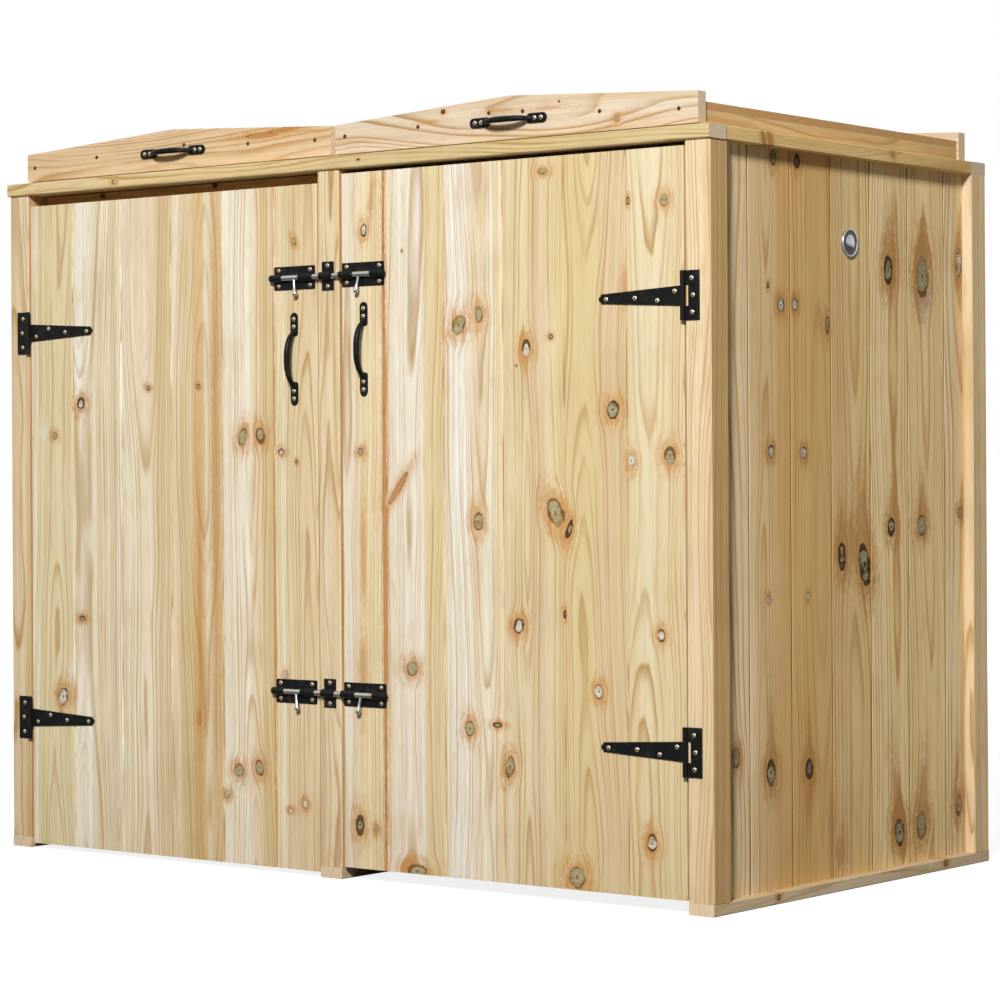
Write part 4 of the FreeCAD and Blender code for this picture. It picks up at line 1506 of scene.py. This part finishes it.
class BINSTORE_OT_bolts(bpy.types.Operator):
    """Barrel bolts: plates with pressed sleeves, rods, knobs on stems, and the shared keepers"""

    bl_idname = "binstore.bolts"
    bl_label = "Barrel bolts"

    def execute(self, context):
        black = metal("black paint")
        zinc = metal("bright zinc")
        plate = bolt_plate()
        rod = turned("bolt_rod", 32, ROD_PROFILE)
        knob = turned("bolt_knob", 24, KNOB_PROFILE)
        lean = math.radians(KNOB_LEAN)
        tilt = math.radians(KNOB_TILT)
        hang = (-math.sin(lean), -math.cos(lean) * math.sin(tilt), -math.cos(lean) * math.cos(tilt))
        for side, sign in SIDES.items():
            plates = []
            for level_name, level in BOLT_LEVELS.items():
                copy = placed(plate, UNTURNED, (0, PLATE_FACE, level), "plate")
                plates.append(copy if sign > 0 else flipped(copy))
                name = f"{side}_{level_name}"
                place = (sign * ROD_START, ROD_Y, level)
                bar = placed(rod, pointing((sign, 0, 0)), place, "bolt_bar_" + name)
                finish_piece(bar, "rod_" + name, zinc, "zinc_steel", ["bolt_rod_" + name])
                place = (sign * KNOB_X, ROD_Y, level)
                grip = placed(knob, pointing((sign * hang[0], *hang[1:])), place, "bolt_grip_" + name)
                finish_piece(grip, "knob_" + name, zinc, "zinc_steel", ["bolt_knob_" + name], 50)
            piece = joined(plates, "bolt_backs_" + side)
            finish_piece(piece, "door_" + side, black, "black_steel", ["bolt_plates_" + side])
        keeper = keeper_strip()
        pair = [placed(keeper, UNTURNED, (0, ROD_Y, level), "keeper") for level in BOLT_LEVELS.values()]
        piece = joined(pair, "keeper_strips")
        finish_piece(piece, "carcass", black, "black_steel", ["bolt_keepers"])
        remove(plate, rod, knob, keeper)
        return {"FINISHED"}


# Profile of the disc: pairs of radius and height in millimetres
DISC_PROFILE = (
    (23.0, 0.0),
    (23.0, 2.0),
    (22.4, 2.9),
    (21.2, 3.3),
    (19.9, 3.0),
    (19.2, 2.1),
    (13.6, 2.1),
    (13.0, 2.9),
    (12.2, 3.5),
    (9.0, 4.3),
    (5.0, 4.8),
    (2.0, 4.95),
)


class BINSTORE_OT_disc(bpy.types.Operator):
    """The plain domed disc on the right-hand wall"""

    bl_idname = "binstore.disc"
    bl_label = "Wall disc"

    def execute(self, context):
        pattern = turned("disc", 64, DISC_PROFILE)
        low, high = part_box("wall_disc")
        middle = (low + high) / 2
        place = (low.x / MM, middle.y / MM, middle.z / MM)
        disc = placed(pattern, pointing((1, 0, 0)), place, "domed_disc")
        finish_piece(disc, "carcass", metal("polished disc"), "disc_metal", ["wall_disc"])
        remove(pattern)
        return {"FINISHED"}


# Pull handles: places along the grip, its height over the pads, and its thickness as a share
GRIP_POINTS = (
    (-47.0, 2.2, 0.74),
    (-41.0, 5.6, 0.80),
    (-33.0, 12.6, 0.90),
    (-18.0, 18.2, 1.00),
    (0.0, 19.6, 1.02),
)
GRIP_RADIUS = 4.8
PAD_MIDDLE = 56.0
PAD_SIZE = (15.5, 38.0, PAD_THICK)
PAD_OUTER_ROUND = 7.6
PAD_INNER_ROUND = 4.5


def pad_edges(end, outer):
    """A test for the upright edges at the outer or the inner end of a pad."""

    def test(first, second):
        beyond = end * first.y > PAD_MIDDLE * MM
        return abs(first.z - second.z) > 1 * MM and beyond == outer

    return test


def pull_handle():
    """A handle along Y that stands up along Z: a bowed round grip cast in one with two pads."""
    choose()
    bpy.ops.curve.primitive_bezier_curve_add()
    bow = bpy.context.object
    spline = bow.data.splines[0]
    points = [*GRIP_POINTS, *((-along, rise, thick) for along, rise, thick in GRIP_POINTS[-2::-1])]
    spline.bezier_points.add(len(points) - 2)
    for point, (along, rise, thick) in zip(spline.bezier_points, points):
        point.co = (0, along * MM, rise * MM)
        point.handle_left_type = point.handle_right_type = "AUTO"
        point.radius = thick
    bow.data.dimensions = "3D"
    bow.data.bevel_depth = GRIP_RADIUS * MM
    bow.data.bevel_resolution = 6
    bow.data.use_fill_caps = True
    bpy.ops.object.convert(target="MESH")
    parts = [bpy.context.object]
    for end in (-1, 1):
        choose()
        middle = (0, end * PAD_MIDDLE * MM, PAD_THICK / 2 * MM)
        bpy.ops.mesh.primitive_cube_add(size=1, location=middle)
        pad = bpy.context.object
        pad.scale = [size * MM for size in PAD_SIZE]
        bpy.ops.object.transform_apply()
        for outer, size in ((True, PAD_OUTER_ROUND), (False, PAD_INNER_ROUND)):
            with editing(pad, pad_edges(end, outer), "EDGE"):
                bpy.ops.mesh.bevel(offset=size * MM, segments=8)
        parts.append(pad)
    handle = joined(parts, "pull_handle")
    modify(handle, "REMESH", mode="VOXEL", voxel_size=0.7 * MM)
    modify(handle, "SMOOTH", factor=0.5, iterations=5)
    return handle


class BINSTORE_OT_handles(bpy.types.Operator):
    """Cast pull handles with bowed grips, for the doors and the lids"""

    bl_idname = "binstore.handles"
    bl_label = "Pull handles"

    def execute(self, context):
        pattern = pull_handle()
        upright = Matrix.Rotation(math.radians(90), 4, "X")
        level = upright @ Matrix.Rotation(math.radians(90), 4, "Z")
        for side, sign in SIDES.items():
            door = (sign * HANDLE_X, BOARD_FACE, HANDLE_LEVEL[side])
            lid = (sign * LID_HANDLE_X, FASCIA_FACE, LID_HANDLE_Z)
            for owner, turn, place in (("door", upright, door), ("lid", level, lid)):
                handle = placed(pattern, turn, place, f"{owner}_pull_{side}")
                stands_for = [f"{owner}_handle_{side}"]
                black = metal("black paint")
                finish_piece(handle, f"{owner}_{side}", black, "black_steel", stands_for, 60)
        remove(pattern)
        return {"FINISHED"}


# Stage

CAMERA_PLACE = (3.2859, -4.1143, 0.6548)
CAMERA_YAW = 38.396
CAMERA_PITCH = 0.105
CAMERA_ROLL = -0.321
CAMERA_SHIFT = (0.0066, -0.0375)
SENSOR = 36
FAR_ENOUGH = 200
FLOOR_SIZE = 80
LAMP_TARGET = Vector((0, 0, 0.6))
LAMP_DISTANCE = 7.0
KEY_AIM = Vector((0.55, -1.0, 0.63))
KEY_SIZE = 1.1
BACK_AIM = Vector((-0.75, 1.0, 0.5))
BACK_SIZE = 3.0


def white_behind(web, tint, strength):
    """A world shader that is white to the camera and in reflections, and lights with its strength."""
    path = web.add("LightPath")
    seen = web.math("MAXIMUM", path["Is Camera Ray"], path["Is Glossy Ray"])
    seen = web.math("MAXIMUM", seen, path["Is Transmission Ray"])
    plain = web.add("Background", {"Color": tint, "Strength": strength})[0]
    white = web.add("Background", {"Color": (1, 1, 1, 1), "Strength": 1.0})[0]
    return web.add("MixShader", {0: seen, 1: plain, 2: white})[0]


def floor_material(tint):
    """A pale floor that keeps the shadow and comes out white elsewhere."""
    material, web = new_material("studio floor")
    point = web.add("TexCoord")["Object"]
    paler = [min(1, part * 1.02) for part in tint[:3]] + [1]
    base = web.mix(web.noise(point, 0.6, 2.0), tint, paler)
    diffuse = web.add("BsdfDiffuse", {"Color": base})[0]
    far = web.step(web.length(point), 1.6, 4.5)
    lift = web.add("LightPath")["Is Camera Ray"] * (far * 0.14 + 0.86)
    glow = web.add("Emission", {"Color": (1, 1, 1, 1), "Strength": lift})[0]
    both = web.add("AddShader", {0: diffuse, 1: glow})[0]
    web.add("OutputMaterial", {"Surface": both})
    return material


def add_lamp(name, aim, size, power):
    """A round soft lamp that shines on the store from one way."""
    aim = aim.normalized()
    turn = aim.to_track_quat("Z", "Y").to_euler()
    place = LAMP_TARGET + aim * LAMP_DISTANCE
    bpy.ops.object.light_add(type="AREA", radius=size, location=place, rotation=turn)
    lamp = bpy.context.object
    lamp.name = name
    lamp.data.energy = power
    lamp.data.shape = "DISK"
    lamp.data.size = size


class BINSTORE_OT_stage(bpy.types.Operator):
    """Floor, white surroundings, a soft lamp in front, a weaker one behind and the camera"""

    bl_idname = "binstore.stage"
    bl_label = "Stage"

    def execute(self, context):
        stage = context.scene.bin_store_stage
        choose()
        bpy.ops.mesh.primitive_plane_add(size=FLOOR_SIZE)
        floor = context.object
        floor.name = "studio_floor"
        floor.data.materials.append(floor_material(stage.floor))
        floor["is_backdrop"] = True
        world = bpy.data.worlds.new("studio")
        world.use_nodes = True
        world.node_tree.nodes.clear()
        web = Web(world.node_tree)
        web.add("OutputWorld", {"Surface": white_behind(web, stage.sky_tint, stage.sky)})
        context.scene.world = world
        add_lamp("key_lamp", KEY_AIM, KEY_SIZE, stage.key_power)
        add_lamp("back_lamp", BACK_AIM, BACK_SIZE, stage.back_power)
        yaw = Matrix.Rotation(math.radians(CAMERA_YAW), 4, "Z")
        pitch = Matrix.Rotation(math.radians(90 + CAMERA_PITCH), 4, "X")
        roll = Matrix.Rotation(math.radians(CAMERA_ROLL), 4, "Z")
        turn = (yaw @ pitch @ roll).to_euler()
        bpy.ops.object.camera_add(location=CAMERA_PLACE, rotation=turn)
        camera = context.object
        camera.data.sensor_width = SENSOR
        camera.data.lens = stage.lens
        camera.data.shift_x, camera.data.shift_y = CAMERA_SHIFT
        camera.data.clip_end = FAR_ENOUGH
        context.scene.camera = camera
        context.scene.view_settings.view_transform = "Standard"
        return {"FINISHED"}


OPERATORS = (
    BINSTORE_OT_timber_frame,
    BINSTORE_OT_wall_boards,
    BINSTORE_OT_door_boards,
    BINSTORE_OT_lid_timber,
    BINSTORE_OT_ironwork,
    BINSTORE_OT_bolts,
    BINSTORE_OT_handles,
    BINSTORE_OT_disc,
    BINSTORE_OT_screws,
    BINSTORE_OT_inner_fixings,
    BINSTORE_OT_stage,
)
SETTINGS = {
    "bin_store_pine": PineSettings,
    "bin_store_metal": MetalSettings,
    "bin_store_stage": StageSettings,
}


class BINSTORE_PT_parts(bpy.types.Panel):
    """The pieces of the bin store"""

    bl_idname = "BINSTORE_PT_parts"
    bl_label = "Bin store"
    bl_space_type = "VIEW_3D"
    bl_region_type = "UI"
    bl_category = "Bin store"

    def draw(self, context):
        for operator in OPERATORS:
            self.layout.operator(operator.bl_idname)
        for name in SETTINGS:
            group = getattr(context.scene, name)
            for key in group.bl_rna.properties.keys():
                if key not in ("rna_type", "name"):
                    self.layout.prop(group, key)


def register():
    """Makes the settings, the operators and the panel known."""
    for name, group in SETTINGS.items():
        bpy.utils.register_class(group)
        setattr(bpy.types.Scene, name, PointerProperty(type=group))
    for kind in (*OPERATORS, BINSTORE_PT_parts):
        bpy.utils.register_class(kind)


def unregister():
    """Takes the panel, the operators and the settings away again."""
    for kind in (BINSTORE_PT_parts, *reversed(OPERATORS)):
        bpy.utils.unregister_class(kind)
    for name, group in SETTINGS.items():
        delattr(bpy.types.Scene, name)
        bpy.utils.unregister_class(group)


def main():
    """Builds everything in order and works out the box round what it shows."""
    register()
    for operator in OPERATORS:
        family, name = operator.bl_idname.split(".")
        getattr(getattr(bpy.ops, family), name)()
    visual_box = [list(corner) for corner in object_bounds()]


if __name__ == "__main__":
    main()
